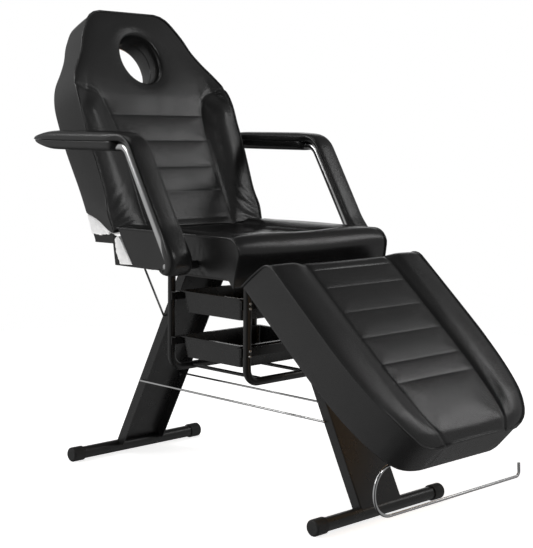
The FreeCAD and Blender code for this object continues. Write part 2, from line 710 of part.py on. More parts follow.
def make_back_hinge_arm(name, side):
    """The backrest's half of a hinge: a strap on the board and an arm to the pin."""
    plate = new_body(f"{name}_back_hinge_arm")
    centre = back_plate_centre()
    low = "back_face - back_deep"
    edge = f"{centre} + plate / 2"
    low_x, high_x = sorted((side * value(f"{edge} - 40"), side * value(edge)))
    block(plate, (low_x, "back_end_front + 4", f"{low} - plate"),
          (high_x, "back_end_rear + 66", low))
    arm = [("-11", "-7"), ("-6", "10"), ("4", "10"), ("12", "4"), ("back_end_front", "-17"),
           ("back_end_front + 17", low), ("back_end_front + 17", f"{low} - plate"),
           ("back_end_front + 4", f"{low} - plate"), ("back_end_front - 2", f"{low} - 6")]
    pad(plate, polygon(new_sketch(plate, "YZ_Plane", f"{side} * ({centre})"), arm), "plate")
    hole = circle(new_sketch(plate, "YZ_Plane", f"{side} * ({centre})"), "0 * pin_r",
                  "0 * pin_r", "pin_r + pin_play")
    pocket(plate, hole, "3 * plate")
    spots = new_sketch(plate, "XY_Plane", low)
    for x, y in back_screw_spots():
        circle(spots, f"{side} * ({x})", y, "screw_r")
    pocket(plate, spots, "3 * plate")
    stand(plate, "back")


def make_foot_hinge_seat_plate(name, side):
    """The seat's half of a footrest hinge, under the front of the seat board."""
    plate = new_body(f"{name}_foot_hinge_seat_plate")
    inner = "foot_plate_x + plate + hinge_gap"
    low_x, high_x = sorted((side * value(inner), side * value(f"{inner} + 30")))
    block(plate, (low_x, "rail_front_y + 4", "pan_z - plate"),
          (high_x, "rail_front_y + 84", "pan_z"))
    ear = [("rail_front_y + 84", "pan_z - plate"), ("rail_front_y + 4", "pan_z - plate"),
           ("rail_front_y + 4", "foot_pivot_z + 9"), ("foot_pivot_y - 6", "foot_pivot_z + 9"),
           ("foot_pivot_y - 11", "foot_pivot_z"), ("foot_pivot_y - 6", "foot_pivot_z - 10"),
           ("foot_pivot_y + 10", "foot_pivot_z - 12")]
    pad(plate, polygon(new_sketch(plate, "YZ_Plane", f"{side} * ({inner} + plate / 2)"), ear),
        "plate")
    hole = circle(new_sketch(plate, "YZ_Plane", f"{side} * ({inner})"),
                  "foot_pivot_y", "foot_pivot_z", "pin_r")
    pocket(plate, hole, "3 * plate")
    spots = new_sketch(plate, "XY_Plane", "pan_z")
    for y in foot_seat_screw_spots():
        circle(spots, f"{side} * ({inner} + 18)", y, "screw_r")
    pocket(plate, spots, "3 * plate")


def foot_seat_screw_spots():
    return ["rail_front_y + 24", "rail_front_y + 64"]


def foot_screw_spots():
    return [("foot_plate_x - 14", f"-{step}") for step in HINGE_SCREW_STEPS["foot"]]


def make_foot_hinge_arm(name, side):
    """The footrest's half of a hinge: a strap on the board and an arm to the pin."""
    plate = new_body(f"{name}_foot_hinge_arm")
    low = "foot_face - foot_deep"
    edge = "foot_plate_x + plate"
    low_x, high_x = sorted((side * value(f"{edge} - 30"), side * value(edge)))
    block(plate, (low_x, "-150", f"{low} - plate"), (high_x, "-30", low))
    arm = [("-120", f"{low} - plate"), ("-30", f"{low} - plate"), ("-22", "22"), ("-1", "11"),
           ("8", "6"), ("9", "-7"), ("-6", "-10"), ("-50", "18")]
    pad(plate, polygon(new_sketch(plate, "YZ_Plane", f"{side} * (foot_plate_x + plate / 2)"),
                       arm), "plate")
    hole = circle(new_sketch(plate, "YZ_Plane", f"{side} * foot_plate_x"), "0 * pin_r",
                  "0 * pin_r", "pin_r + pin_play")
    pocket(plate, hole, "3 * plate")
    spots = new_sketch(plate, "XY_Plane", low)
    for x, y in foot_screw_spots():
        circle(spots, f"{side} * ({x})", y, "screw_r")
    pocket(plate, spots, "3 * plate")
    stand(plate, "foot")


def make_hinge_pins():
    """Headed pins through both plates of each hinge."""
    radius, head, thick = value("pin_r"), value("pin_head_r"), value("pin_head")
    sets = {
        "back_hinge_pins": ("back_pivot_y", "back_pivot_z", "back_plate_x",
                            f"{back_plate_centre()} + plate / 2 + hinge_gap"),
        "foot_hinge_pins": ("foot_pivot_y", "foot_pivot_z", "foot_plate_x - hinge_gap",
                            "foot_plate_x + 2 * plate + hinge_gap"),
    }
    for label, (y, z, inner, outer) in sets.items():
        pins = []
        for _, side in SIDES:
            centre, along = V(0, value(y), value(z)), V(side, 0, 0)
            start, end = centre + along * value(inner), centre + along * value(outer)
            headed = rod(start, end, radius).fuse(rod(end, end + along * thick, head))
            pins.append(headed.fuse(rod(start, start - along * thick, head)).removeSplitter())
        joined(label, pins)


def drill_screws(board, kind):
    """Pilot holes for the hinge straps' screws."""
    spots = {"back": back_screw_spots(), "foot": foot_screw_spots()}[kind]
    sketch = new_sketch(board, "XY_Plane", f"{kind}_face - {kind}_deep")
    for _, side in SIDES:
        for x, y in spots:
            circle(sketch, f"{side} * ({x})", y, "screw_r")
    pocket(board, sketch, "2 * (screw_len - plate)")


def make_strap_screws():
    """Screws through the hinge straps into the backrest's and the footrest's boards."""
    sets = {"back": back_screw_spots(), "foot": foot_screw_spots()}
    for kind, spots in sets.items():
        bottom = value(f"{kind}_face - {kind}_deep - plate")
        screws = [screw(V(side * value(x), value(y), bottom), V(0, 0, 1))
                  for _, side in SIDES for x, y in spots]
        stand(joined(f"{kind}rest_hinge_screws", screws), kind)


def seat_strap_spots():
    """Where the screws of the seat's hinge straps stand, in plan."""
    rear = [("back_plate_x - 14", y) for y in seat_screw_spots()]
    front = [("foot_plate_x + plate + hinge_gap + 18", y) for y in foot_seat_screw_spots()]
    return rear + front


def make_seat_screws():
    bottom = value("pan_z - plate")
    joined("seat_hinge_screws", [screw(V(side * value(x), value(y), bottom), V(0, 0, 1))
                                 for _, side in SIDES for x, y in seat_strap_spots()])


# ---- footrest ----------------------------------------------------------------------------

def foot_outline(inset="0"):
    """The footrest seen from above: straight sides that draw in to a rounded lower end."""
    steps = [(f"-foot_start_low - 2 - {inset}", f"foot_half - {inset}"),
             ("-foot_taper_y", f"foot_taper_half - {inset}"),
             ("-foot_mid_y", f"foot_mid_half - {inset}"),
             ("-foot_low_y", f"foot_low_half - {inset}"),
             (f"-foot_end + {inset}", f"foot_tip_half - {inset}")]
    right = [(half, y) for y, half in steps]
    left = [(f"-({half})", y) for y, half in reversed(steps)]
    return right + left


def make_foot_cushion():
    cushion = new_body("footrest_cushion")
    middle = "foot_face - foot_deep / 2"
    pad(cushion, polygon(new_sketch(cushion, "XY_Plane", middle), foot_outline()), "foot_deep")
    low = "foot_face - foot_deep"
    wedge = [("-foot_start", "foot_face"), ("-foot_start_low", low),
             ("foot_start", low), ("foot_start", "foot_face + 1"),
             ("-foot_start", "foot_face + 1")]
    pocket(cushion, polygon(new_sketch(cushion, "YZ_Plane"), wedge), "3 * foot_half")
    bed = polygon(new_sketch(cushion, "XY_Plane", low), foot_outline("seat_skin"))
    pocket(cushion, bed, "2 * board")
    stand(cushion, "foot")


def make_foot_board():
    board = new_body("footrest_board")
    middle = "foot_face - foot_deep + board / 2"
    pad(board, polygon(new_sketch(board, "XY_Plane", middle), foot_outline("seat_skin")),
        "board")
    drill_screws(board, "foot")
    stand(board, "foot")


# ---- paper-roll holder -------------------------------------------------------------------

def make_roll_holder():
    """One bent wire: fixed under the footrest, round an open loop and along to a raised tip."""
    holder = new_body("paper_roll_holder")
    middle = "(holder_top_z + holder_low_z) / 2"
    loop = "(holder_top_z - holder_low_z) / 2 - 0.5"
    path = new_sketch(holder, "XZ_Plane", "holder_y")
    bent_path(path, [("-holder_inner_x", "holder_top_z"), ("-holder_loop_x", "holder_top_z"),
                     ("-holder_loop_x", "holder_low_z"), ("holder_reach", "holder_low_z")], loop)
    profile = circle(new_sketch(holder, "YZ_Plane", "-holder_inner_x"), "holder_y",
                     "holder_top_z", "holder_r")
    pipe(holder, profile, path)
    tip_path = new_sketch(holder, "XZ_Plane", "holder_y")
    bent_path(tip_path, [("holder_reach", "holder_low_z"), ("holder_reach + 18", "holder_low_z"),
                         ("holder_reach + 15", "holder_tip_z")], "3 * holder_r")
    tip = circle(new_sketch(holder, "YZ_Plane", "holder_reach"), "holder_y", "holder_low_z",
                 "holder_r")
    pipe(holder, tip, tip_path)


def make_holder_clips():
    """Two saddle clips that hold the holder's wire against the footrest's underside."""
    wire = standing("foot").inverse().multVec(V(0, value("holder_y"), value("holder_top_z")))
    radius = value("holder_r")
    low = value("foot_face - foot_deep")
    clips = []
    half, long, thick = value("clip_wide / 2"), value("clip_long"), value("clip_thick")
    for x in CLIP_X:
        saddle = Part.makeBox(2 * half, 4 * radius, low - wire.z + radius + thick,
                              V(x - half, wire.y - 2 * radius, wire.z - radius - thick))
        foot = Part.makeBox(2 * half, long, thick, V(x - half, wire.y - long / 2, low - thick))
        groove = rod(V(x - 2 * half, wire.y, wire.z), V(x + 2 * half, wire.y, wire.z), radius)
        clip = saddle.fuse(foot).cut(groove)
        for shift in CLIP_SCREW_SHIFTS:
            spot = V(x, wire.y + shift, low - thick)
            clip = clip.cut(rod(spot, spot + V(0, 0, 2 * thick), value("screw_r")))
        clips.append(clip.removeSplitter())
    stand(joined("roll_holder_clips", clips), "foot")


# ---- armrests ----------------------------------------------------------------------------

def arm_line(z, offset="0"):
    """The sloping bar's middle line in side view, as a formula of height."""
    rise = "(arm_bar_z - arm_pivot_z - 8)"
    return (f"arm_pivot_y + (arm_elbow_y - arm_pivot_y) * (({z}) - arm_pivot_z - 8) / {rise}"
            f" + ({offset})")


def make_arm_bar(name, side):
    """A flat oval tube: up from the bolt, sloping back to the elbow and level to the rear."""
    bar = new_body(f"{name}_armrest_bar")
    low_z = "arm_pivot_z - 14"
    centre = f"{side} * arm_x"
    path = new_sketch(bar, "YZ_Plane", centre)
    bent_path(path, [("arm_pivot_y", low_z), ("arm_pivot_y", "arm_pivot_z + 8"),
                     ("arm_elbow_y", "arm_bar_z"), ("arm_bar_end_y", "arm_bar_z")], "arm_bend_r")
    profile = new_sketch(bar, "XY_Plane", low_z)
    for inset in ("0", "arm_bar_wall"):
        stadium(profile, centre, "arm_pivot_y", f"arm_bar_deep / 2 - {inset}",
                "arm_bar_half - arm_bar_deep / 2", upright=False)
    pipe(bar, profile, path)
    hole = circle(new_sketch(bar, "YZ_Plane", centre), "arm_pivot_y", "arm_pivot_z",
                  "arm_bolt_r + pin_play")
    pocket(bar, hole, "2 * arm_bar_half + 2")


def make_arm_pad(name, side):
    """The long pad: level on top, over the elbow, down the slope and round the bar's foot."""
    upper = new_body(f"{name}_armrest_pad")
    gap = "14.8"
    foot_z = "arm_pivot_z - 14.5"
    outline = [("arm_tip_y", "arm_seam_z"), ("arm_tip_y - 45", "arm_top_z - 8"),
               ("arm_tip_y - 125", "arm_top_z"), ("arm_elbow_y + 80", "arm_top_z"),
               ("arm_elbow_y + 12", "arm_top_z - 12"), ("arm_elbow_y - 34", "arm_seam_z - 5"),
               ("arm_pivot_y + 11", "arm_pivot_z + 86"), ("arm_pivot_y - 14", "arm_pivot_z + 33"),
               ("arm_pivot_y - 22", "arm_pivot_z + 3"), ("arm_pivot_y - 16", "arm_pivot_z - 24"),
               ("arm_pivot_y + 14", "arm_pivot_z - 24"), ("arm_pivot_y + 18", "arm_pivot_z - 6"),
               ("arm_pivot_y + 12.5", "arm_pivot_z - 4"),
               ("arm_pivot_y + 12.5", foot_z), ("arm_pivot_y - 12.5", foot_z),
               (f"arm_pivot_y - {gap}", "arm_pivot_z + 12"),
               (arm_line("arm_seam_z - 32.5", f"-{gap}"), "arm_seam_z - 32.5"),
               ("arm_elbow_y - 16", "arm_seam_z - 4.3"), ("arm_elbow_y + 22", "arm_seam_z")]
    pad(upper, polygon(new_sketch(upper, "YZ_Plane", f"{side} * arm_x"), outline),
        "2 * arm_half")


def make_arm_under_pad(name, side):
    """The half-round pad under the level part, hollow for the bar."""
    under = new_body(f"{name}_armrest_under_pad")
    outline = [("arm_under_y", "arm_seam_z"), ("arm_under_y", "arm_seam_z - 28"),
               ("arm_tip_y - 95", "arm_seam_z - 28"), ("arm_tip_y - 40", "arm_seam_z - 18"),
               ("arm_tip_y", "arm_seam_z")]
    pad(under, polygon(new_sketch(under, "YZ_Plane", f"{side} * arm_x"), outline),
        "2 * (arm_half - 1)")
    low_x, high_x = sorted(side * value("arm_x") + step * value("arm_bar_half + 0.2")
                           for step in (1, -1))
    cavity(under, (low_x, "arm_under_y - 5", "arm_bar_z - arm_bar_deep / 2"),
           (high_x, "arm_bar_end_y + 2", "arm_seam_z + 2"))


# ---- tray rack and trays -----------------------------------------------------------------

def make_hoop(end):
    """A U of round tube hung from the seat rails."""
    hoop = new_body(f"{end}_rack_hoop")
    top = "pan_z - rail_side"
    path = new_sketch(hoop, "XZ_Plane", f"{end}_hoop_y")
    bent_path(path, [("-hoop_half", top), ("-hoop_half", "hoop_low_z"),
                     ("hoop_half", "hoop_low_z"), ("hoop_half", top)], "hoop_bend")
    profile = ring(new_sketch(hoop, "XY_Plane", top), "-hoop_half", f"{end}_hoop_y", "hoop_r",
                   "hoop_wall")
    pipe(hoop, profile, path)


def make_rack_braces():
    """Two round tubes between the hoops' bottom runs."""
    radius, low_z = value("rack_brace_r"), value("hoop_low_z")
    front = value("front_hoop_y + hoop_r")
    rear = value("rear_hoop_y - hoop_r")
    braces = []
    for _, side in SIDES:
        start = V(side * value("rack_brace_x"), front, low_z)
        end = V(start.x, rear, low_z)
        braces.append(rod(start, end, radius).cut(rod(start, end, radius - value("hoop_wall"))))
    joined("rack_braces", braces)


def make_runners(level):
    """Two angle rails along X on the hoops' legs: a tray's rim slides on their ledges."""
    top = f"{level}_tray_z - tray_rim - rail_gap"
    runners = []
    low_z, high_z = value(f"{top} - runner_tall"), value(top)
    thick, wide = value("runner"), value("runner_wide")
    half = value("hoop_half + hoop_r")
    faces = ((value("rear_hoop_y - hoop_r"), -1), (value("front_hoop_y + hoop_r"), 1))
    for face_y, inward in faces:
        web = Part.makeBox(2 * half, thick, high_z - low_z,
                           V(-half, min(face_y, face_y + inward * thick), low_z))
        ledge = Part.makeBox(2 * half, wide, thick,
                             V(-half, min(face_y, face_y + inward * wide), high_z - thick))
        runners.append(web.fuse(ledge).removeSplitter())
    joined(f"{level}_tray_runners", runners)


def make_tray(level):
    """An open plastic tray with drafted walls and a flat rim all round."""
    tray = new_body(f"{level}_tray")
    top = f"{level}_tray_z"
    outer = [("tray_half", "tray_wide"), ("tray_floor_half", "tray_floor_wide")]
    block(tray, ("-tray_rim_half", "tray_y - tray_rim_wide", f"{top} - tray_rim"),
          ("tray_rim_half", "tray_y + tray_rim_wide", top))
    for kind, inset, floor in (("Additive", "0", "0"), ("Subtractive", "tray_wall", "tray_wall")):
        heights = (top, f"{top} - tray_deep + {floor}")
        sketches = []
        for (half, wide), height in zip(outer, heights):
            sketches.append(rectangle(
                new_sketch(tray, "XY_Plane", height), f"-{half} + {inset}",
                f"tray_y - {wide} + {inset}", f"{half} - {inset}", f"tray_y + {wide} - {inset}"))
        loft = tray.newObject(f"PartDesign::{kind}Loft", f"{tray.Name}_{kind.lower()}")
        loft.Profile = sketches[0]
        loft.Sections = [(sketches[1], [""])]
        loft.Ruled = True
        tray.Tip = loft
        doc.recompute()
    fillet(tray, "tray_corner_r",
           lambda spot: abs(spot.x) > value("tray_floor_half - tray_wall - 1")
           and abs(spot.y - value("tray_y")) > value("tray_floor_wide - tray_wall - 1"))


def make_runner_screws():
    """Small screws through the hoops' legs into the runners."""
    screws = []
    radius, reach = value("runner_screw_r"), value("hoop_r")
    span = 5 * radius
    for level in ("upper", "lower"):
        top = value(f"{level}_tray_z - tray_rim - rail_gap")
        for _, side in SIDES:
            for hoop_y, outward in ((value("rear_hoop_y"), 1), (value("front_hoop_y"), -1)):
                for drop in RUNNER_SCREW_DROPS:
                    at = V(side * value("hoop_half"), hoop_y + outward * reach, top - drop)
                    outside = Part.makeBox(2 * span, 2 * span, 2 * span,
                                           at + V(-span, (outward - 1) * span, -span))
                    screws.append(Part.makeSphere(radius, at).common(outside))
    joined("runner_screws", screws)


# ---- the whole bed -----------------------------------------------------------------------

def make_everything():
    for end, foot_y, web_side in (("rear", "rear_foot_y", 1), ("front", "front_foot_y", -1)):
        make_floor_tube(end, foot_y)
        make_leg(end, web_side)
        make_leg_plate(end, web_side)
        make_cross_tube(end)
        make_hoop(end)
    make_floor_caps()
    make_leg_bolts()
    make_rods()
    make_rod_nuts()
    make_seat_board()
    make_seat_cushion()
    make_seat_end_cloth()
    make_back_cushion()
    make_back_board()
    make_face_liner()
    make_back_end_cloth()
    make_foot_cushion()
    make_foot_board()
    make_hinge_pins()
    make_strap_screws()
    make_seat_screws()
    make_arm_bolts()
    make_arm_spacers()
    make_rack_braces()
    make_roll_holder()
    make_holder_clips()
    make_runner_screws()
    for name, side in SIDES:
        make_seat_rail(name, side)
        make_arm_mount(name, side)
        make_back_hinge_seat_plate(name, side)
        make_back_hinge_arm(name, side)
        make_foot_hinge_seat_plate(name, side)
        make_foot_hinge_arm(name, side)
        make_arm_bar(name, side)
        make_arm_pad(name, side)
        make_arm_under_pad(name, side)
    for level in ("upper", "lower"):
        make_runners(level)
        make_tray(level)


def write_parts():
    """Check every object and sub-part, then write one file for each."""
    doc.recompute()
    for item in doc.Objects:
        if "Invalid" in item.State or "Error" in item.State:
            raise ValueError(f"{item.Label} failed: {item.State}")
    os.makedirs("parts", exist_ok=True)
    for part in parts:
        if part.Shape.isNull() or not part.Shape.isValid():
            raise ValueError(f"{part.Label} has no valid shape")
    for part in parts:
        part.Shape.exportStep(f"parts/{part.Label}.step")
        print(f"{part.Label}: {len(part.Shape.Solids)} solid(s), {part.Shape.Volume:.0f} mm3")


make_everything()
write_parts()
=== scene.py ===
import json
import math

import bmesh
import bpy
import numpy as np
from mathutils import Matrix, Vector


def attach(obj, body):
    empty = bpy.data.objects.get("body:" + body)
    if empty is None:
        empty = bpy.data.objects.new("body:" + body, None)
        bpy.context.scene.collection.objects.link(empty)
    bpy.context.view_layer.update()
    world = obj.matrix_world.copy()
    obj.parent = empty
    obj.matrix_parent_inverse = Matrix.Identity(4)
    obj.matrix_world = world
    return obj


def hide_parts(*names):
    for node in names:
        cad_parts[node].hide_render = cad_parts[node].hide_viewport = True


# The looks of a facial treatment bed, built round its CAD frame. Metres; +X is the sitter's
# left, -Y the footrest end and +Z up. A cushion is drawn lying down, in the frame of its hinge.

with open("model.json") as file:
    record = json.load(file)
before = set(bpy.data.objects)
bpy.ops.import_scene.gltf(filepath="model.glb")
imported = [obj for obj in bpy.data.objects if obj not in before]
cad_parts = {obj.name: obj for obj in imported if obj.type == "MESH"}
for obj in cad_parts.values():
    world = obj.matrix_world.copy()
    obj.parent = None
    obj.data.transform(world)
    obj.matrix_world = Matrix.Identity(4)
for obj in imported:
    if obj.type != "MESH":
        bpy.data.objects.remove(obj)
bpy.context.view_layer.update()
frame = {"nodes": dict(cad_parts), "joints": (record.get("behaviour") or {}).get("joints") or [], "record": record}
NODES = frame["nodes"]
JOINTS = {joint["name"]: joint for joint in frame["joints"]}
SIDES = (("left", 1), ("right", -1))

OUTERMOST = 0.999       # a grid column past this size, of 0 to 1, lies on a cushion's side
TINY = 1e-6
QUILT_NEAR = 0.0025     # how far the grid's close rows lie to each side of a quilting seam
ROW_GAP = 0.0125        # the widest step between a cushion's rows
PIPING_RADIUS = 0.0036


# ---- frames, curves and profiles ---------------------------------------------------------

def hinge_frame(joint):
    """A cushion's lying-down frame: the hinge pin as origin, turned to the angle at rest."""
    turn = math.radians(JOINTS[joint]["range_deg"][1])
    return Matrix.Translation(JOINTS[joint]["pos_m"]) @ Matrix.Rotation(turn, 4, "X")


BACK = hinge_frame("backrest_recline")
FOOT = hinge_frame("footrest_lift")
SEAT = Matrix()


def local_box(node, place):
    """Lowest and highest corner of a CAD node in a cushion's own frame."""
    flat = place.inverted()
    points = np.array([flat @ vertex.co for vertex in NODES[node].data.vertices])
    return points.min(0), points.max(0)


def through(*pairs):
    """A smooth function of one number through (number, value) pairs, never past them."""
    keys, values = np.array(pairs, float).T
    runs = np.diff(values) / np.diff(keys)
    slopes = np.gradient(values, keys)
    gentler = np.minimum(abs(runs[:-1]), abs(runs[1:]))
    steepest = np.where(runs[:-1] * runs[1:] > 0, 3 * gentler, 0)
    slopes[1:-1] = np.clip(slopes[1:-1], -steepest, steepest)

    def curve(at):
        at = np.clip(at, keys[0], keys[-1])
        low = np.clip(np.searchsorted(keys, at) - 1, 0, len(keys) - 2)
        span = keys[low + 1] - keys[low]
        t = (at - keys[low]) / span
        return ((2 * t**3 - 3 * t**2 + 1) * values[low]
                + (t**3 - 2 * t**2 + t) * span * slopes[low]
                + (3 * t**2 - 2 * t**3) * values[low + 1]
                + (t**3 - t**2) * span * slopes[low + 1])
    return curve


def smooth(low, high, at):
    """0 below low, 1 above high, and an even turn between."""
    t = np.clip((at - low) / (high - low), 0, 1)
    return t * t * (3 - 2 * t)


def dip(distance, width):
    """A soft notch profile: 1 at no distance, fading over the width."""
    return np.exp(-(distance / width) ** 2)


def rounded(points, steps=8):
    """A smooth line through the points, steps to each run."""
    points = np.array(points, float)
    ends = np.vstack([2 * points[0] - points[1], points, 2 * points[-1] - points[-2]])
    line = []
    for a, b, c, d in zip(ends, ends[1:], ends[2:], ends[3:]):
        for t in np.arange(steps) / steps:
            line.append(b + 0.5 * t * (c - a + t * (2 * a - 5 * b + 4 * c - d
                                                    + t * (3 * (b - c) + d - a))))
    line.append(points[-1])
    return np.array(line)


def along(points):
    """A function from 0..1 to the point that far along the line, by its length."""
    points = np.array(points, float)
    steps = np.linalg.norm(np.diff(points, axis=0), axis=1)
    length = np.concatenate([[0], np.cumsum(steps)])
    return lambda t: np.array([np.interp(t * length[-1], length, axis) for axis in points.T])


def spread(stops, gap):
    """Grid lines through the stops, no further apart than the gap."""
    lines = [stops[0]]
    for low, high in zip(stops, stops[1:]):
        count = max(1, math.ceil((high - low) / gap - TINY))
        lines += [low + (high - low) * step / count for step in range(1, count + 1)]
    return lines


def mirrored(lines):
    """Grid lines from 0 outwards, with their mirror images before them."""
    return [-line for line in reversed(lines) if line > 0] + list(lines)


def quilted_rows(stops, quilts):
    """A cushion's rows: through the stops, and three close ones at each quilting seam."""
    close = [quilt + step for quilt in quilts for step in (-QUILT_NEAR, 0, QUILT_NEAR)]
    return [round(line, 9) for line in spread(sorted(stops + close), ROW_GAP)]


def on_lines(values, lines):
    """Which of the values lie on one of the lines."""
    return np.isin(np.round(values, 6), np.round(lines, 6))


def panelled(column, inner, groove, half):
    """A column's place sideways: up to inner it is in the middle panel, inside the groove."""
    size = abs(column)
    if size <= inner:
        return math.copysign(size / inner * groove, column)
    return math.copysign(groove + (size - inner) / (1 - inner) * (half - groove), column)


def bulged(x, layer, by=0.004):
    """A place on a cushion's side, moved outwards the most at half its depth."""
    return x + math.copysign(by * math.sin(math.pi * layer), x)


# ---- materials ---------------------------------------------------------------------------

def map_range(node, *numbers):
    """Set a Map Range node's From Min, From Max, To Min and To Max, and give its result."""
    for socket, number in zip(("From Min", "From Max", "To Min", "To Max"), numbers):
        node.inputs[socket].default_value = number
    return node.outputs["Result"]


class Shader:
    """A material of nodes, with short ways to add noise, ramps and bumps."""

    TURN = (0.3, 0.7)   # the part of a noise's range over which a ramp turns

    def __init__(self, name, **settings):
        self.material = bpy.data.materials.new(name)
        self.material.use_nodes = True
        self.tree = self.material.node_tree
        self.surface = self.tree.nodes["Principled BSDF"]
        for socket, setting in settings.items():
            self.surface.inputs[socket.replace("_", " ")].default_value = setting
        self.place = self.tree.nodes.new("ShaderNodeTexCoord").outputs["Object"]
        self.normal = None

    def node(self, kind, **inputs):
        """A new node whose inputs are numbers or other nodes' outputs."""
        node = self.tree.nodes.new(f"ShaderNode{kind}")
        for socket, given in inputs.items():
            target = node.inputs[socket.replace("_", " ")]
            if isinstance(given, bpy.types.NodeSocket):
                self.tree.links.new(given, target)
            else:
                target.default_value = given
        return node

    def noise(self, scale, detail, stretch=(1, 1, 1)):
        place = self.node("Mapping", Vector=self.place, Scale=stretch).outputs["Vector"]
        return self.node("TexNoise", Vector=place, Scale=scale, Detail=detail).outputs["Fac"]

    def cells(self, scale):
        return self.node("TexVoronoi", Vector=self.place, Scale=scale).outputs["Distance"]

    def link(self, socket, target):
        """Feed the surface's target input from the socket."""
        self.tree.links.new(socket, self.surface.inputs[target])
        return self

    def colour(self, factor, low, high):
        """A colour that turns from low to high with the factor."""
        ramp = self.node("ValToRGB", Fac=factor)
        for element, position, shade in zip(ramp.color_ramp.elements, self.TURN, (low, high)):
            element.position = position
            element.color = (*shade, 1)
        return self.link(ramp.outputs["Color"], "Base Color")

    def rough(self, factor, low, high):
        """A roughness that turns from low to high with the factor."""
        node = self.node("MapRange", Value=factor)
        return self.link(map_range(node, *self.TURN, low, high), "Roughness")

    def bump(self, height, distance, strength):
        """Raise the surface by the height; a later bump adds to the ones before."""
        node = self.node("Bump", Height=height, Distance=distance, Strength=strength)
        if self.normal:
            self.tree.links.new(self.normal, node.inputs["Normal"])
        self.normal = node.outputs["Normal"]
        return self.link(self.normal, "Normal")


def grey(level, warmth=0.0):
    """A grey, or with warmth one with more red and less blue."""
    return (level * (1 + warmth), level, level * (1 - warmth))


def vinyl():
    """Black upholstery vinyl: fine pebbled grain and slow changes of sheen."""
    made = Shader("black_vinyl", Specular_IOR_Level=0.55)
    made.colour(made.noise(9, 3), grey(0.0090), grey(0.0125, 0.01))
    made.rough(made.noise(14, 4), 0.20, 0.27)
    made.bump(made.noise(11, 3), 0.0008, 0.14)
    made.bump(made.cells(1150), 0.00022, 0.34)
    return made.bump(made.noise(2600, 2), 0.00008, 0.25).material


def cloth():
    """Undyed non-woven cloth: a faint cross weave with specks."""
    made = Shader("white_cloth", Specular_IOR_Level=0.15, Sheen_Weight=0.25, Sheen_Roughness=0.5)
    made.colour(made.noise(60, 4), grey(0.84, 0.005), grey(0.94, 0.005))
    made.rough(made.noise(300, 2), 0.82, 0.94)
    made.bump(made.noise(35, 3), 0.0012, 0.35)
    made.bump(made.noise(520, 1, (1, 1, 3.2)), 0.0003, 0.5)
    return made.bump(made.noise(520, 1, (3.2, 1, 1)), 0.0003, 0.5).material


def plywood():
    """Raw birch ply: long grain across the bed, with paler and darker streaks."""
    made = Shader("plywood", Specular_IOR_Level=0.3)
    grain = made.noise(16, 6, (0.35, 9, 9))
    made.colour(grain, (0.36, 0.22, 0.115), (0.60, 0.42, 0.25))
    made.rough(made.noise(40, 3), 0.55, 0.75)
    return made.bump(grain, 0.0006, 0.4).material


def metal(name, level, low, high, scale, ripple):
    """A bare metal whose sheen changes over the scale."""
    made = Shader(name, Metallic=1.0)
    made.colour(made.noise(scale, 2), grey(level * 0.93), grey(level))
    made.rough(made.noise(scale * 3, 3), low, high)
    return made.bump(made.noise(scale * 9, 2), ripple, 0.3).material


def moulded(name, level, low, high, grain, depth):
    """A dark paint, plastic or rubber with a grain of its own."""
    made = Shader(name, Specular_IOR_Level=0.5)
    made.colour(made.noise(12, 3), grey(level * 0.8), grey(level * 1.15))
    made.rough(made.noise(22, 4), low, high)
    return made.bump(made.noise(grain, 2), depth, 0.5).material


MATERIALS = {
    "black_vinyl": vinyl(),
    "white_cloth": cloth(),
    "plywood": plywood(),
    "chrome": metal("chrome", 0.66, 0.035, 0.085, 30, 0.00003),
    "zinc_fastener": metal("zinc_fastener", 0.62, 0.24, 0.40, 160, 0.00008),
    "tray_plastic": moulded("tray_plastic", 0.008, 0.20, 0.32, 1500, 0.00012),
    "black_plastic": moulded("black_plastic", 0.012, 0.32, 0.48, 1400, 0.00015),
    "black_rubber": moulded("black_rubber", 0.010, 0.52, 0.70, 900, 0.0003),
    "black_paint": moulded("black_paint", 0.007, 0.24, 0.36, 650, 0.00012),
}


def finish_cad_nodes():
    """Give every CAD node the material of its slot."""
    for part in frame["record"]["subparts"]:
        node = NODES[part["node"]]
        node.data.materials.clear()
        node.data.materials.append(MATERIALS[part["material_slot"]])


# ---- pieces ------------------------------------------------------------------------------

def new_piece(name, points, faces, material):
    """A mesh piece with its faces turned outwards and shaded smooth."""
    mesh = bpy.data.meshes.new(name)
    mesh.from_pydata([tuple(point) for point in points], [], faces)
    shape = bmesh.new()
    shape.from_mesh(mesh)
    bmesh.ops.recalc_face_normals(shape, faces=shape.faces)
    shape.to_mesh(mesh)
    shape.free()
    mesh.shade_smooth()
    mesh.materials.append(MATERIALS[material])
    piece = bpy.data.objects.new(name, mesh)
    bpy.context.scene.collection.objects.link(piece)
    return piece


def at_vertices(mesh, kind="co"):
    """A row for each vertex: its place, or with kind "normal" its direction outwards."""
    rows = np.empty(len(mesh.vertices) * 3)
    mesh.vertices.foreach_get(kind, rows)
    return rows.reshape(-1, 3)


def move_points(piece, points):
    """Put the piece's vertices at the points."""
    piece.data.vertices.foreach_set("co", np.asarray(points, float).ravel())
    piece.data.update()


def settled(piece):
    """Put the piece's modifiers into its mesh."""
    graph = bpy.context.evaluated_depsgraph_get()
    mesh = bpy.data.meshes.new_from_object(piece.evaluated_get(graph))
    piece.modifiers.clear()
    piece.data = mesh
    return piece


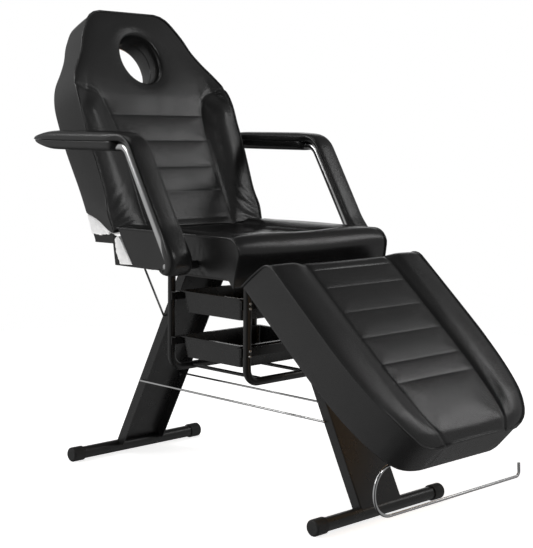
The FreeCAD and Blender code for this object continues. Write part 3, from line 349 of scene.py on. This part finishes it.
def inflate(piece, held, cap):
    """Fill the form with air while the held points stay, and keep each move under the cap."""
    frames = 20
    scene = bpy.context.scene
    start = at_vertices(piece.data)
    group = piece.vertex_groups.new(name="held")
    group.add([int(index) for index in held], 1.0, "REPLACE")
    cloth_sim = piece.modifiers.new("air", "CLOTH")
    settings = cloth_sim.settings
    settings.use_pressure = True
    settings.uniform_pressure_force = 4.0
    settings.effector_weights.gravity = 0
    settings.vertex_group_mass = group.name
    settings.tension_stiffness = 40
    settings.compression_stiffness = 20
    settings.shear_stiffness = 20
    settings.bending_stiffness = 4
    settings.shrink_min = 0.004
    cloth_sim.point_cache.frame_start = 1
    cloth_sim.point_cache.frame_end = frames
    for frame_number in range(1, frames + 1):
        scene.frame_set(frame_number)
    graph = bpy.context.evaluated_depsgraph_get()
    blown = at_vertices(piece.evaluated_get(graph).data)
    piece.modifiers.clear()
    scene.frame_set(1)
    move = blown - start
    size = np.linalg.norm(move, axis=1, keepdims=True)
    move *= np.tanh(size / cap) * cap / np.maximum(size, 1e-9)
    move_points(piece, start + move)


def crease(piece, points):
    """Keep the edges between the seam's points crisp when the form is subdivided."""
    seam = set(int(index) for index in points)
    layer = piece.data.attributes.new("crease_edge", "FLOAT", "EDGE")
    for edge in piece.data.edges:
        if seam.issuperset(edge.vertices):
            layer.data[edge.index].value = 0.9


def subdivide(piece):
    """Split each face in four, and smooth the form but for its creases."""
    finer = piece.modifiers.new("finer", "SUBSURF")
    finer.levels = finer.render_levels = 1
    return settled(piece)


def welt(name, line, place, body):
    """Piping: a sewn cord that follows a line of points in a cushion's frame."""
    curve = bpy.data.curves.new(name, "CURVE")
    curve.dimensions = "3D"
    curve.bevel_depth = PIPING_RADIUS
    curve.bevel_resolution = 3
    curve.use_fill_caps = True
    spline = curve.splines.new("POLY")
    spline.points.add(len(line) - 1)
    for point, at in zip(spline.points, line):
        point.co = (*(place @ Vector(at)), 1)
    curve.materials.append(MATERIALS["black_vinyl"])
    piece = bpy.data.objects.new(name, curve)
    bpy.context.scene.collection.objects.link(piece)
    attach(piece, body)


def box_grid(columns, rows, layers, shape, hole=None):
    """The skin of a box of grid lines, each point put in place by shape(column, row, layer).

    hole is (column, low row, high row): the lines that bound an opening right through."""
    across = [round(line, 9) for line in columns]
    up = [round(line, 9) for line in rows]
    if hole:
        left, right = across.index(-round(hole[0], 9)), across.index(round(hole[0], 9))
        low, high = up.index(round(hole[1], 9)), up.index(round(hole[2], 9))
    index, lattice, faces = {}, [], []
    ends = (len(across) - 1, len(up) - 1, len(layers) - 1)

    def corner(*key):
        if key not in index:
            index[key] = len(lattice)
            lattice.append((across[key[0]], up[key[1]], layers[key[2]]))
        return index[key]

    def quad(fixed, at, a, b):
        keys = []
        for da, db in ((0, 0), (1, 0), (1, 1), (0, 1)):
            key = [a + da, b + db]
            key.insert(fixed, at)
            keys.append(corner(*key))
        faces.append(keys)

    for i in range(ends[0]):
        for j in range(ends[1]):
            if not (hole and left <= i < right and low <= j < high):
                quad(2, 0, i, j)
                quad(2, ends[2], i, j)
    for k in range(ends[2]):
        for i in range(ends[0]):
            quad(1, 0, i, k)
            quad(1, ends[1], i, k)
            if hole and left <= i < right:
                quad(1, low, i, k)
                quad(1, high, i, k)
        for j in range(ends[1]):
            quad(0, 0, j, k)
            quad(0, ends[0], j, k)
            if hole and low <= j < high:
                quad(0, left, j, k)
                quad(0, right, j, k)
    lattice = np.array(lattice)
    return np.array([shape(*spot) for spot in lattice]), faces, lattice


def upholster(name, lines, shape, held, seams, cap, hole=None):
    """A cushion: its grid blown up a little, its seams kept crisp, then subdivided once.

    held and seams pick grid points by their columns' sizes, their rows and their layers."""
    points, faces, lattice = box_grid(*lines, shape, hole)
    spots = abs(lattice[:, 0]), lattice[:, 1], lattice[:, 2]
    piece = new_piece(name, points, faces, "black_vinyl")
    inflate(piece, np.flatnonzero(held(*spots)), cap)
    crease(piece, np.flatnonzero(seams(*spots)))
    return subdivide(piece)


def deliver(piece, place, body, nodes):
    piece.data.transform(place)
    piece.data.update()
    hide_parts(*nodes)
    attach(piece, body)


def fold(piece, start, end, width, depth):
    """Press a wrinkle into the skin along a straight line, with a raised lip on each side."""
    points = at_vertices(piece.data)
    start, end = np.array(start), np.array(end)
    run = end - start
    share = np.clip((points - start) @ run / (run @ run), 0, 1)
    distance = np.linalg.norm(points - start - share[:, None] * run, axis=1)
    fade = np.sin(np.pi * np.clip(share, 0.04, 0.96)) ** 0.6
    push = fade * (-depth * dip(distance, width)
                   + 0.55 * depth * dip(distance - 2 * width, width))
    move_points(piece, points + at_vertices(piece.data, "normal") * push[:, None])


# ---- backrest ----------------------------------------------------------------------------

def make_backrest():
    """The backrest's upholstery, with its face hole, its bolsters and its piping.

    Its length runs along y from start to top, and its front skin lies at face. The middle
    panel takes the columns up to inner, and tube holds the face hole's two radii."""
    low, high = local_box("backrest_cushion", BACK)
    face, back = high[2], low[2]
    start, top = low[1], high[1]
    half = through((0.0, 0.283), (0.10, 0.285), (0.212, 0.290), (0.322, 0.295), (0.405, 0.294),
                   (0.452, 0.287), (0.500, 0.268), (0.545, 0.236), (0.590, 0.208),
                   (0.625, 0.193), (0.660, 0.172), (0.685, 0.154), (0.698, 0.140),
                   (0.706, 0.124), (top, 0.104))
    groove = through((0.0, 0.166), (0.30, 0.168), (0.354, 0.175), (0.386, 0.182), (0.417, 0.190),
                     (0.46, 0.19), (0.55, 0.142), (0.63, 0.118), (top, 0.06))
    wing_top = through((0.16, 0.375), (0.175, 0.396), (0.190, 0.417), (0.204, 0.432),
                       (0.218, 0.441), (0.259, 0.453), (0.30, 0.457))
    edge_rise = through((start, 0.0), (0.02, 0.002), (0.055, 0.006), (0.138, 0.0115),
                        (0.245, 0.018), (0.337, 0.020), (0.40, 0.025), (0.43, 0.024),
                        (0.454, 0.020), (0.494, 0.010), (0.56, 0.002), (0.60, 0.0), (top, 0.0))
    inner = 0.55
    middle, tube = 0.558, (0.0665, 0.0740)
    wider, longer, higher = 0.007, 0.010, 0.003
    rim, rim_deep, reach = 0.013, 0.042, 2.0
    seam_drop, panel_drop, piping_groove, quilt_cut = 0.007, 0.006, 0.0042, 0.0019
    slant, droop, lip_size, lip_share = 0.083, 0.006, 0.024, 0.45
    quilts = [0.372, 0.290, 0.204, 0.122, 0.042]

    hole_column = tube[0] / groove(middle) * inner
    hole_rows = (middle - tube[1], middle + tube[1])

    def round_hole(x, y, column, layer):
        """Bend the grid near the face hole into rings about it, wider at the back."""
        a, b = column / hole_column, (y - middle) / tube[1]
        size = max(abs(a), abs(b))
        if size >= reach or size == 0:
            return x, y
        turn = math.atan2(b, a)
        wide, tall = (tube[0] + wider * layer) * size, (tube[1] + longer * layer) * size
        ring = (wide * math.cos(turn), middle + higher * layer + tall * math.sin(turn))
        share = smooth(1, reach, size)
        return ring[0] + (x - ring[0]) * share, ring[1] + (y - ring[1]) * share

    def relief(x, y):
        """Height of the front skin over the seam's plane."""
        side = half(y) - abs(x)
        crown = 1 - 0.75 * math.exp(-side / 0.016) - 0.25 * math.exp(-side / 0.05)
        crown *= 1 - math.exp(-(top - y + 0.002) / 0.016)
        inset = min(abs(x) - groove(y), wing_top(abs(x)) - y)
        outwards = max(smooth(-0.006, 0.085, inset), smooth(0.05, 0.0, side))
        lower = 1 - smooth(0.38, 0.44, y)
        panel = lower * panel_drop
        panel *= smooth(0.06, -0.03, inset) * smooth(start, start + 0.045, y)
        line = piping_groove * dip(inset, 0.0055)
        cut = 0.0
        if abs(x) < groove(y) - 0.002 and lower > 0.5:
            cut = max(quilt_cut * dip(y - quilt, 0.0020) for quilt in quilts)
        hole = (math.hypot(x / tube[0], (y - middle) / tube[1]) - 1) * tube[0]
        height = seam_drop * crown + edge_rise(y) * outwards - panel - line - cut
        if hole < rim:
            share = 1 - max(hole, 0) / rim
            height -= rim_deep * (1 - math.sqrt(max(0, 1 - share * share)))
        return height - 0.004 * dip(hole - rim, 0.02)

    def shape(column, y, layer):
        x = panelled(column, inner, groove(y), half(y))
        at = round_hole(x, y, column, 0)
        x, level = round_hole(x, y, column, layer)
        front = face - seam_drop + relief(*at)
        deep = front + (back - front) * layer
        edge = abs(column) > OUTERMOST
        if edge:
            x = bulged(x, layer)
            corner_bulge = 0.010 * dip(level - 0.065, 0.04) * (1 - layer) ** 2
            x += math.copysign(corner_bulge, x)
        if layer == 1 and not (edge or y in (rows[0], rows[-1])):
            margin = min(half(level) - abs(x), top - level)
            deep = back + 0.006 * smooth(0.012, 0.03, margin) - 0.0015
        level -= droop * smooth(0.03, 0.0, level - start) * (1 - layer)
        share = (face - deep) / (face - back)
        lip = 0
        if 0 < share < lip_share:
            lip = lip_size * math.sin(math.pi * min(1, share / lip_share)) ** 0.7
        keep = smooth(0.30, 0.0, level - start)
        level += slant * share * keep - lip * smooth(0.035, 0.0, level - start)
        if y == rows[-1]:
            level += 0.003 * math.sin(math.pi * layer)
        return x, level, deep

    near = [0.0015, 0.004, 0.008, 0.013, 0.020]
    ring_columns = [hole_column * (1 + step / tube[0]) for step in near]
    columns = spread(sorted([0, hole_column, *ring_columns, inner - 0.035, inner - 0.013,
                             inner, inner + 0.02, inner + 0.07, 0.94, 0.98, 1.0]), 0.042)
    stops = [start, *hole_rows, 0.420, 0.428, 0.435, 0.441, 0.447, 0.453, 0.460, 0.695, 0.705,
             top]
    for step in near:
        stops += [hole_rows[0] - step, hole_rows[1] + step]
    rows = quilted_rows(stops, quilts)
    layers = [0, 0.06, 0.25, 0.5, 0.75, 0.94, 1]

    def seams(column, row, layer):
        ends = (column > OUTERMOST) | (row >= rows[-1] - TINY) | (row <= rows[0] + TINY)
        return ends & ((layer == 0) | (layer == 1))

    def held(column, row, layer):
        grooves = (abs(column - inner) < 0.001) & (row < 0.42)
        quilted = on_lines(row, quilts) & (column < inner)
        rim_held = (column < hole_column * 1.3) & (abs(row - middle) < tube[1] * 1.3)
        return seams(column, row, layer) | (layer > 0.9) | grooves | quilted | rim_held

    piece = upholster("backrest_upholstery", (mirrored(columns), rows, layers), shape, held,
                      seams, 0.0026, (hole_column, *hole_rows))
    creases = ((0.02, 0.030, 0.0018), (0.045, 0.055, 0.0013), (0.075, 0.085, 0.0009))
    for _, side in SIDES:
        for y, rise, depth in creases:
            fold(piece, (side * 0.285, y, face), (side * 0.20, y + rise, face + 0.008),
                 0.007, depth)
    deliver(piece, BACK, "backrest", ["backrest_cushion"])
    seam = [shape(side, y, 0) for side, run in ((-1, rows), (1, rows[::-1])) for y in run]
    welt("backrest_piping", seam, BACK, "backrest")
    make_hole_lining(middle, tube, face - seam_drop - rim_deep, back)


def make_hole_lining(middle, tube, front, back):
    """The sleeve of vinyl inside the face hole, wider and higher up at the board's back."""
    turns = 64
    wider, longer, higher = 0.0035, 0.0035, 0.003
    profile = [(0.004, front + 0.004), (0.0012, front + 0.0035), (-0.0006, front),
               (-0.0008, front - 0.006), (-0.0006, back + 0.030), (0.0004, back + 0.016),
               (0.0030, back + 0.004), (0.0060, back - 0.0012), (0.0100, back - 0.0030),
               (0.0140, back - 0.0024), (0.0145, back - 0.0006), (0.0105, back + 0.0006),
               (0.0070, back + 0.004), (0.0040, back + 0.018)]
    points, faces = [], []
    for turn in range(turns):
        angle = 2 * math.pi * turn / turns
        for offset, height in profile:
            share = smooth(front, back, height)
            points.append(((tube[0] + offset + wider * share) * math.cos(angle),
                           middle + higher * share
                           + (tube[1] + offset + longer * share) * math.sin(angle), height))
    size = len(profile)
    for turn in range(turns):
        here, following = turn * size, (turn + 1) % turns * size
        for step in range(size):
            after = (step + 1) % size
            faces.append((here + step, here + after, following + after, following + step))
    piece = new_piece("face_hole_lining", points, faces, "black_vinyl")
    subdivide(piece)
    deliver(piece, BACK, "backrest", ["face_hole_liner"])


# ---- footrest ----------------------------------------------------------------------------

def make_footrest():
    """The footrest's upholstery and its piping.

    Its length runs along y from end, its rounded lower edge, to the apex beside the seat."""
    low, high = local_box("footrest_cushion", FOOT)
    face, back, end = high[2], low[2], low[1]
    apex, start = -0.031, high[1]
    half = through((end, 0.140), (end + 0.004, 0.172), (end + 0.014, 0.200),
                   (end + 0.028, 0.218), (-0.575, 0.234), (-0.540, 0.250), (-0.490, 0.266),
                   (-0.440, 0.276), (-0.39, 0.282), (-0.30, 0.287), (-0.1, 0.288), (0.0, 0.287))
    groove = through((end, 0.118), (end + 0.05, 0.139), (-0.50, 0.152), (-0.40, 0.158),
                     (-0.20, 0.160), (0, 0.158))
    inner, seam_drop, nose = 0.55, 0.008, 0.026
    wing_rise, piping_groove, quilt_cut, end_drop = 0.012, 0.004, 0.0016, 0.012
    quilts = [-0.070, -0.131, -0.214, -0.297, -0.382, -0.441]

    def relief(x, y):
        """Height of the front skin over the seam's plane."""
        side = half(y) - abs(x)
        crown = 1 - 0.7 * math.exp(-side / 0.014) - 0.3 * math.exp(-side / 0.05)
        taper = smooth(end, end + 0.10, y)
        wing = wing_rise * taper * smooth(-0.004, 0.050, abs(x) - groove(y))
        line = piping_groove * dip(abs(x) - groove(y), 0.0045)
        cut = 0.0
        if abs(x) < groove(y) - 0.002:
            cut = max(quilt_cut * dip(y - quilt, 0.0020) for quilt in quilts)
        tail = end_drop * (1 - smooth(0.0, 0.045, y - end)) ** 2
        return seam_drop * crown + wing - line - cut - tail

    def shape(column, y, layer):
        x = panelled(column, inner, groove(y), half(y))
        front = face - 0.002 + relief(x, y)
        over = max(0.0, y - (apex - nose)) / nose
        front -= nose * (1 - math.sqrt(max(0.0, 1 - over * over)))
        deep = front + (back - front) * layer
        edge = abs(column) > OUTERMOST
        if edge:
            x = bulged(x, layer)
        if layer == 1 and not (edge or y in (rows[0], rows[-1])):
            margin = min(half(y) - abs(x), y - end, apex - y)
            deep = back + 0.007 * smooth(0.014, 0.03, margin) - 0.0015
        keep = smooth(-0.26, 0.0, y - apex)
        y += (start - apex) * (face - deep) / (face - back) * keep
        if y < end + TINY:
            y -= 0.003 * math.sin(math.pi * layer)
        return x, y, deep

    columns = spread([0, inner - 0.035, inner - 0.013, inner, inner + 0.02, inner + 0.07,
                      0.90, 0.94, 0.98, 1.0], 0.042)
    stops = [end, end + 0.004, end + 0.012, end + 0.028, apex - nose, apex - nose * 0.6,
             apex - nose * 0.3, apex - nose * 0.12, apex - nose * 0.03, apex]
    rows = quilted_rows(stops, quilts)
    layers = [0, 0.06, 0.25, 0.5, 0.75, 0.94, 1]

    def seams(column, row, layer):
        side = column > OUTERMOST
        lower, upper = row <= rows[0] + TINY, row >= rows[-1] - TINY
        ends = (layer == 1) & (side | lower | upper)
        return ends | ((layer == 0) & (side | lower)) | (side & upper)

    def held(column, row, layer):
        grooves = abs(column - inner) < 0.001
        quilted = on_lines(row, quilts) & (column < inner)
        return seams(column, row, layer) | (layer > 0.9) | grooves | quilted

    piece = upholster("footrest_upholstery", (mirrored(columns), rows, layers), shape, held,
                      seams, 0.0022)
    deliver(piece, FOOT, "footrest", ["footrest_cushion"])
    left, right = ([shape(side, rows[-1], layer) for layer in reversed(layers[1:])]
                   + [shape(side, y, 0) for y in reversed(rows)] for _, side in SIDES)
    tail = [shape(column, rows[0], 0) for column in reversed(mirrored(columns)[1:-1])]
    welt("footrest_piping", left + tail + right[::-1], FOOT, "footrest")


# ---- seat --------------------------------------------------------------------------------

def make_seat():
    """The seat's upholstery and its piping.

    Its sides reach down to the skirt's height, and its rear slants from rear to rear_low."""
    low, high = local_box("seat_cushion", SEAT)
    (wide, rear, top), front, bottom = high, low[1], low[2]
    nose, skirt, rear_low = 0.042, 0.615, 0.247
    inner, dish, crown = 0.62, 0.029, 0.009
    groove, seam = 0.185, top - 0.001
    bolt = (-0.010, 0.642)
    quilts = [-0.035, 0.055, 0.145, 0.235]

    def relief(x, y):
        """Height of the top over the seams: a crown all round and a dish within it."""
        side = wide - abs(x)
        rise = crown * (1 - 0.75 * math.exp(-side / 0.012) - 0.25 * math.exp(-side / 0.05))
        inset = min(groove - abs(x), y + 0.108 - 0.9 * x * x, rear - 0.006 - y)
        hollow = dish * smooth(-0.040, 0.034, inset) + 0.003 * dip(inset, 0.0055)
        cut = 0.0
        if abs(x) < groove and y > -0.07:
            cut = max(0.0018 * dip(y - quilt, 0.0022) for quilt in quilts)
            cut *= smooth(0, 0.03, groove - abs(x))
        return rise - hollow - cut

    def shape(column, y, layer):
        x = panelled(column, inner, groove, wide)
        level = seam + relief(x, y)
        over = max(0.0, front + nose - y) / nose
        level -= nose * (1 - math.sqrt(max(0.0, 1 - over * over)))
        floor = skirt - 0.0015 - (skirt - bottom) * smooth(front + 0.05, front, y)
        deep = level + (floor - level) * layer
        edge = abs(column) > OUTERMOST
        if edge:
            x = bulged(x, layer, 0.003)
        if layer == 1 and not (edge or y in (rows[0], rows[-1])):
            margin = min(wide - abs(x), y - front - 0.02, rear - y)
            deep = floor + 0.004 * smooth(0.014, 0.03, margin)
        share = (top - deep) / (top - skirt)
        y -= (rear - rear_low) * share * smooth(0.22, 0.0, rear - y)
        y += 0.022 * max(0, share - 0.35) * smooth(0.05, 0.0, y - front)
        return x, y, deep

    columns = spread([0, inner - 0.04, inner - 0.015, inner, inner + 0.015, inner + 0.05,
                      0.90, 0.95, 0.985, 1.0], 0.045)
    stops = [front, *(front + nose * share for share in (0.03, 0.12, 0.3, 0.6, 1.0)),
             rear - 0.012, rear - 0.004, rear]
    rows = quilted_rows(stops, quilts)
    layers = [0, 0.07, 0.25, 0.5, 0.75, 0.93, 1]

    def seams(column, row, layer):
        side, nose_end = column > OUTERMOST, row <= rows[0] + TINY
        rims = (layer == 1) & (nose_end | (row >= rows[-1] - TINY))
        return (side & ((layer == 0) | (layer == 1))) | rims | (side & nose_end)

    def held(column, row, layer):
        quilted = on_lines(row, quilts) & (column < inner * 0.9)
        return seams(column, row, layer) | (layer > 0.9) | quilted

    piece = upholster("seat_upholstery", (mirrored(columns), rows, layers), shape, held,
                      seams, 0.004)
    rays = 9
    for _, side in SIDES:
        spot = np.array((side * wide, *bolt))
        for turn in range(rays):
            angle = 2 * math.pi * (turn + 0.3) / rays
            ray = np.array((0, math.cos(angle), math.sin(angle)))
            fold(piece, spot + ray * 0.010, spot + ray * (0.030 + 0.012 * (turn % 3)),
                 0.0032, 0.0028)
    deliver(piece, SEAT, "base", ["seat_cushion"])
    for name, side in SIDES:
        line = [shape(side, rows[0], t) for t in reversed(layers[1:])]
        line += [shape(side, y, 0) for y in rows]
        welt(f"{name}_seat_piping", line, SEAT, "base")


# ---- cloth at the hinge ------------------------------------------------------------------

def make_end_cloth(node, place, body, upper, lower, half):
    """Cloth over foam, across the bed: its side view fills the gap between two lines."""
    above, below = along(rounded(upper)), along(rounded(lower))
    columns = spread([-half, -half + 0.004, -half + 0.012,
                      half - 0.012, half - 0.004, half], 0.02)
    rows = list(np.linspace(0, 1, 25))

    def shape(x, share, layer):
        high, low = above(share), below(share)
        y, z = high + (low - high) * layer
        ripple = (math.sin(37 * x + 9 * share) + math.sin(81 * x - 14 * share + 1)) * 0.0008
        ripple += 0.0012 * math.sin(30 * share + 11 * x)
        away = (low - high) / (np.linalg.norm(low - high) + TINY)
        y, z = np.array((y, z)) + away * ripple * (1 if layer > 0.5 else 0)
        if abs(x) > half - TINY:
            swell = 0.004 * math.sin(math.pi * layer) * math.sin(math.pi * share)
            x += math.copysign(swell, x)
        return x, y, z

    points, faces, _ = box_grid(columns, rows, [0, 0.12, 0.5, 0.88, 1], shape)
    piece = new_piece(f"{node}_cover", points, faces, "white_cloth")
    subdivide(piece)
    deliver(piece, place, body, [node])


def make_end_cloths():
    """The undyed covers over the foam where backrest and seat meet, each by its side view."""
    fill, over = 0.4, 0.0015
    low, high = local_box("backrest_end_cloth", BACK)
    rear = low[2]
    make_end_cloth("backrest_end_cloth", BACK, "backrest",
                   [(0.030, 0.009), (0.038, 0.003), (0.050, -0.008), (0.070, -0.028),
                    (0.088, -0.050), (0.106, rear)],
                   [(0.023, 0.003), (0.0185, -0.008), (0.021, -0.020), (0.028, -0.037),
                    (0.036, -0.056), (0.046, rear - 0.004)], high[0] + over)
    _, high = local_box("seat_end_cloth", SEAT)
    make_end_cloth("seat_end_cloth", SEAT, "base",
                   [(0.314, 0.693), (0.303, 0.684), (0.288, 0.665), (0.270, 0.642),
                    (0.252, 0.619)],
                   [(0.3215, 0.693), (0.3300, 0.684), (0.3290, 0.667), (0.3205, 0.643),
                    (0.3085, 0.6165)], high[0] + over)


# ---- armrests ----------------------------------------------------------------------------

def arc(centre, radius, start, end, steps=8):
    """Points of an arc in side view between two angles in degrees."""
    turns = np.radians(np.linspace(start, end, steps + 1))
    return [(centre[0] + radius * math.cos(turn), centre[1] + radius * math.sin(turn))
            for turn in turns]


def make_arm_padding(name, node, x, path, width, thick, waist, shift):
    """A D-section pad swept along its flat side's line; width and thick follow its length.

    waist narrows its sides towards the flat side, and shift moves it sideways."""
    run = along(path)
    length = np.linalg.norm(np.diff(np.array(path), axis=0), axis=1).sum()
    count = max(24, round(length / 0.009))
    shares = np.unique(np.concatenate([np.linspace(0, 1, count), [0.004, 0.996]]))
    turns = np.linspace(0, math.pi, 17)
    blunt = 2 / 3.1     # below 1, it fills out the corners of the half-round section
    points, faces = [], []
    for share in shares:
        at = run(share)
        ahead = run(min(1, share + 0.004)) - run(max(0, share - 0.004))
        ahead /= np.linalg.norm(ahead)
        out = np.array((ahead[1], -ahead[0]))
        size, rise = width(share * length), thick(share * length)
        pinch, middle = waist(share * length), x + shift(share * length)
        section = []
        for turn in turns:
            height = math.sin(turn) ** blunt
            half = size * (1 - pinch * (1 - height) ** 1.5)
            sideways = math.copysign(abs(math.cos(turn)) ** blunt, math.cos(turn))
            section.append((half * sideways, rise * height))
        foot = size * (1 - pinch)
        section += [(-foot + 0.003, -0.0002), (-foot / 2, 0.0), (0, 0.0), (foot / 2, 0.0),
                    (foot - 0.003, -0.0002)]
        for offset, height in section:
            y, z = at + out * height
            points.append((middle + offset, y, z))
    size = len(section)
    for step in range(len(shares) - 1):
        for index in range(size):
            after = (index + 1) % size
            faces.append((step * size + index, step * size + after,
                          (step + 1) * size + after, (step + 1) * size + index))
    faces.append(tuple(range(size)))
    faces.append(tuple(range((len(shares) - 1) * size, len(shares) * size)))
    piece = new_piece(name, points, faces, "black_vinyl")
    crease(piece, [step * size + index for step in range(len(shares))
                   for index in (0, len(turns) - 1)])
    subdivide(piece)
    deliver(piece, SEAT, f"{name.split('_')[0]}_armrest", [node])


def make_armrests():
    """Each armrest's two pads, which meet at the seam's height.

    The upper one's line starts at the tip and ends round the bolt; the lower one's ends at
    the tip. Their widths and thicknesses are given by the distance along those lines."""
    seam, tip, bend = 0.9575, 0.570, 0.0525
    for name, side in SIDES:
        low, high = local_box(f"{name}_armrest_pad", SEAT)
        x, half = (low[0] + high[0]) / 2, (high[0] - low[0]) / 2
        path = [(tip - step, seam) for step in np.linspace(0, tip - 0.205, 30)]
        path += arc((0.1878, 0.905), bend, 90, 149.3)
        path += arc((0.030, 0.639), bend, 149.3, 180)
        path += arc((-0.010, 0.640), 0.0125, 180, 355)
        width = through((0, 0.010), (0.004, 0.021), (0.014, 0.031), (0.035, 0.038),
                        (0.07, half - 0.001), (0.12, half), (0.34, half), (0.40, 0.0435),
                        (0.46, 0.0440), (0.70, 0.0430), (0.745, 0.0420), (0.80, 0.040))
        thick = through((0, 0.0015), (0.01, 0.008), (0.045, 0.0185), (0.125, 0.0262),
                        (0.33, 0.0265), (0.39, 0.0240), (0.44, 0.0230), (0.66, 0.0225),
                        (0.715, 0.0280), (0.755, 0.0310), (0.780, 0.023), (0.80, 0.0055))
        waist = through((0, 0), (0.34, 0), (0.42, 0.44), (0.66, 0.44), (0.74, 0.1), (0.80, 0))
        inwards = through((0, 0), (0.34, 0), (0.42, -0.004 * side), (0.66, -0.004 * side),
                          (0.74, 0), (0.80, 0))
        make_arm_padding(f"{name}_armrest_upper", f"{name}_armrest_pad", x, path,
                         width, thick, waist, inwards)
        under = [(0.198 + step, seam - 0.0008) for step in np.linspace(0, tip - 0.200, 30)]
        narrow = through((0, 0.030), (0.004, 0.036), (0.012, half - 0.002),
                         (0.268, half - 0.002), (0.328, 0.0375), (0.353, 0.030),
                         (0.366, 0.020), (0.370, 0.012))
        hang = through((0, 0.020), (0.005, 0.0250), (0.016, 0.0268), (0.275, 0.0262),
                       (0.328, 0.0175), (0.360, 0.007), (0.370, 0.001))
        straight = through((0, 0), (0.37, 0))
        make_arm_padding(f"{name}_armrest_lower", f"{name}_armrest_under_pad", x, under,
                         narrow, hang, straight, straight)


# ---- stage and camera --------------------------------------------------------------------

def softbox(name, at, aim, size, power):
    """A large area light at a place, turned to a point."""
    light = bpy.data.lights.new(name, "AREA")
    light.shape = "RECTANGLE"
    light.size, light.size_y = size
    light.energy = power
    lamp = bpy.data.objects.new(name, light)
    lamp.location = at
    lamp.rotation_mode = "QUATERNION"
    lamp.rotation_quaternion = (Vector(aim) - Vector(at)).to_track_quat("-Z", "Y")
    bpy.context.scene.collection.objects.link(lamp)


def make_world():
    """Soft studio surroundings: paler panels to both sides and a bright wall behind."""
    world = bpy.data.worlds.new("studio")
    bpy.context.scene.world = world
    world.use_nodes = True
    tree = world.node_tree
    background = tree.nodes["Background"]
    place = tree.nodes.new("ShaderNodeTexCoord").outputs["Generated"]

    def facing(direction, low, high, bottom, top):
        """Brightness that grows as the view turns to the direction."""
        dot = tree.nodes.new("ShaderNodeVectorMath")
        dot.operation = "DOT_PRODUCT"
        tree.links.new(place, dot.inputs[0])
        dot.inputs[1].default_value = Vector(direction).normalized()
        ramp = tree.nodes.new("ShaderNodeMapRange")
        ramp.interpolation_type = "SMOOTHSTEP"
        tree.links.new(dot.outputs["Value"], ramp.inputs["Value"])
        return map_range(ramp, low, high, bottom, top)

    def added(*sockets):
        """The sum of two sockets; a Math node adds unless it is told otherwise."""
        node = tree.nodes.new("ShaderNodeMath")
        for given, socket in zip(sockets, node.inputs):
            tree.links.new(given, socket)
        return node.outputs["Value"]

    sides = added(facing((-0.75, 0.65, 0.1), 0.1, 0.95, 0.02, 0.50),
                  facing((0.7, -0.6, -0.1), 0.2, 0.95, 0.0, 0.30))
    above = added(facing((0.6, 0.1, 0.75), 0.3, 0.98, 0.0, 0.07),
                  facing((0.7, 0.7, 0.12), 0.90, 0.99, 0.0, 0.80))
    glow = added(sides, above)
    seen = tree.nodes.new("ShaderNodeLightPath").outputs["Is Camera Ray"]
    mixed = tree.nodes.new("ShaderNodeMix")
    tree.links.new(seen, mixed.inputs["Factor"])
    tree.links.new(glow, mixed.inputs["A"])
    mixed.inputs["B"].default_value = 1.0
    tree.links.new(mixed.outputs["Result"], background.inputs["Strength"])
    background.inputs["Color"].default_value = (1, 1, 1, 1)


def make_floor():
    """A wide pale disc under the bed."""
    disc = bmesh.new()
    bmesh.ops.create_circle(disc, cap_ends=True, segments=96, radius=3.0)
    mesh = bpy.data.meshes.new("floor")
    disc.to_mesh(mesh)
    disc.free()
    pale = Shader("pale_floor", Specular_IOR_Level=0.2)
    pale.colour(pale.noise(3, 2), grey(0.90), grey(0.93))
    pale.rough(pale.noise(20, 2), 0.75, 0.85)
    pale.surface.inputs["Emission Color"].default_value = (1, 1, 1, 1)
    pale.surface.inputs["Emission Strength"].default_value = 0.8
    mesh.materials.append(pale.material)
    floor = bpy.data.objects.new("floor", mesh)
    floor.location.z = -0.0005
    floor.visible_glossy = False
    bpy.context.scene.collection.objects.link(floor)


def make_camera():
    """Eye height before the bed's right foot corner, with a slight roll."""
    azimuth, elevation, roll = (math.radians(turn) for turn in (-44.92, 6.349, 0.626))
    target, distance = Vector((0, 0.0148, 0.5945)), 3.6153
    back = Vector((math.sin(azimuth) * math.cos(elevation),
                   -math.cos(azimuth) * math.cos(elevation), math.sin(elevation)))
    right = back.cross(Vector((0, 0, -1))).normalized()
    up = back.cross(right)
    right, up = (math.cos(roll) * right + math.sin(roll) * up,
                 math.cos(roll) * up - math.sin(roll) * right)
    camera = bpy.data.objects.new("camera", bpy.data.cameras.new("camera"))
    camera.matrix_world = Matrix((right, up, back)).transposed().to_4x4()
    camera.location = target + back * distance
    camera.data.sensor_width = 36
    camera.data.lens = 85.9
    bpy.context.scene.collection.objects.link(camera)
    bpy.context.scene.camera = camera


bpy.context.scene.view_settings.view_transform = "Standard"
make_world()
softbox("key", (-3.4, 1.6, 2.6), (0, 0, 0.6), (1.6, 1.6), 27)
softbox("strip", (-1.4, 1.9, 3.0), (0, 0, 0.6), (0.35, 2.4), 16)
softbox("fill", (2.8, -1.6, 2.6), (0, 0, 0.7), (0.6, 1.3), 8)
softbox("overhead", (0.2, 0.4, 4.2), (0, 0, 0), (1.6, 1.6), 7)
softbox("front", (-0.4, -3.1, 3.0), (0, 0, 0.7), (0.4, 1.2), 15)
make_floor()
make_camera()
finish_cad_nodes()
make_backrest()
make_footrest()
make_seat()
make_end_cloths()
make_armrests()
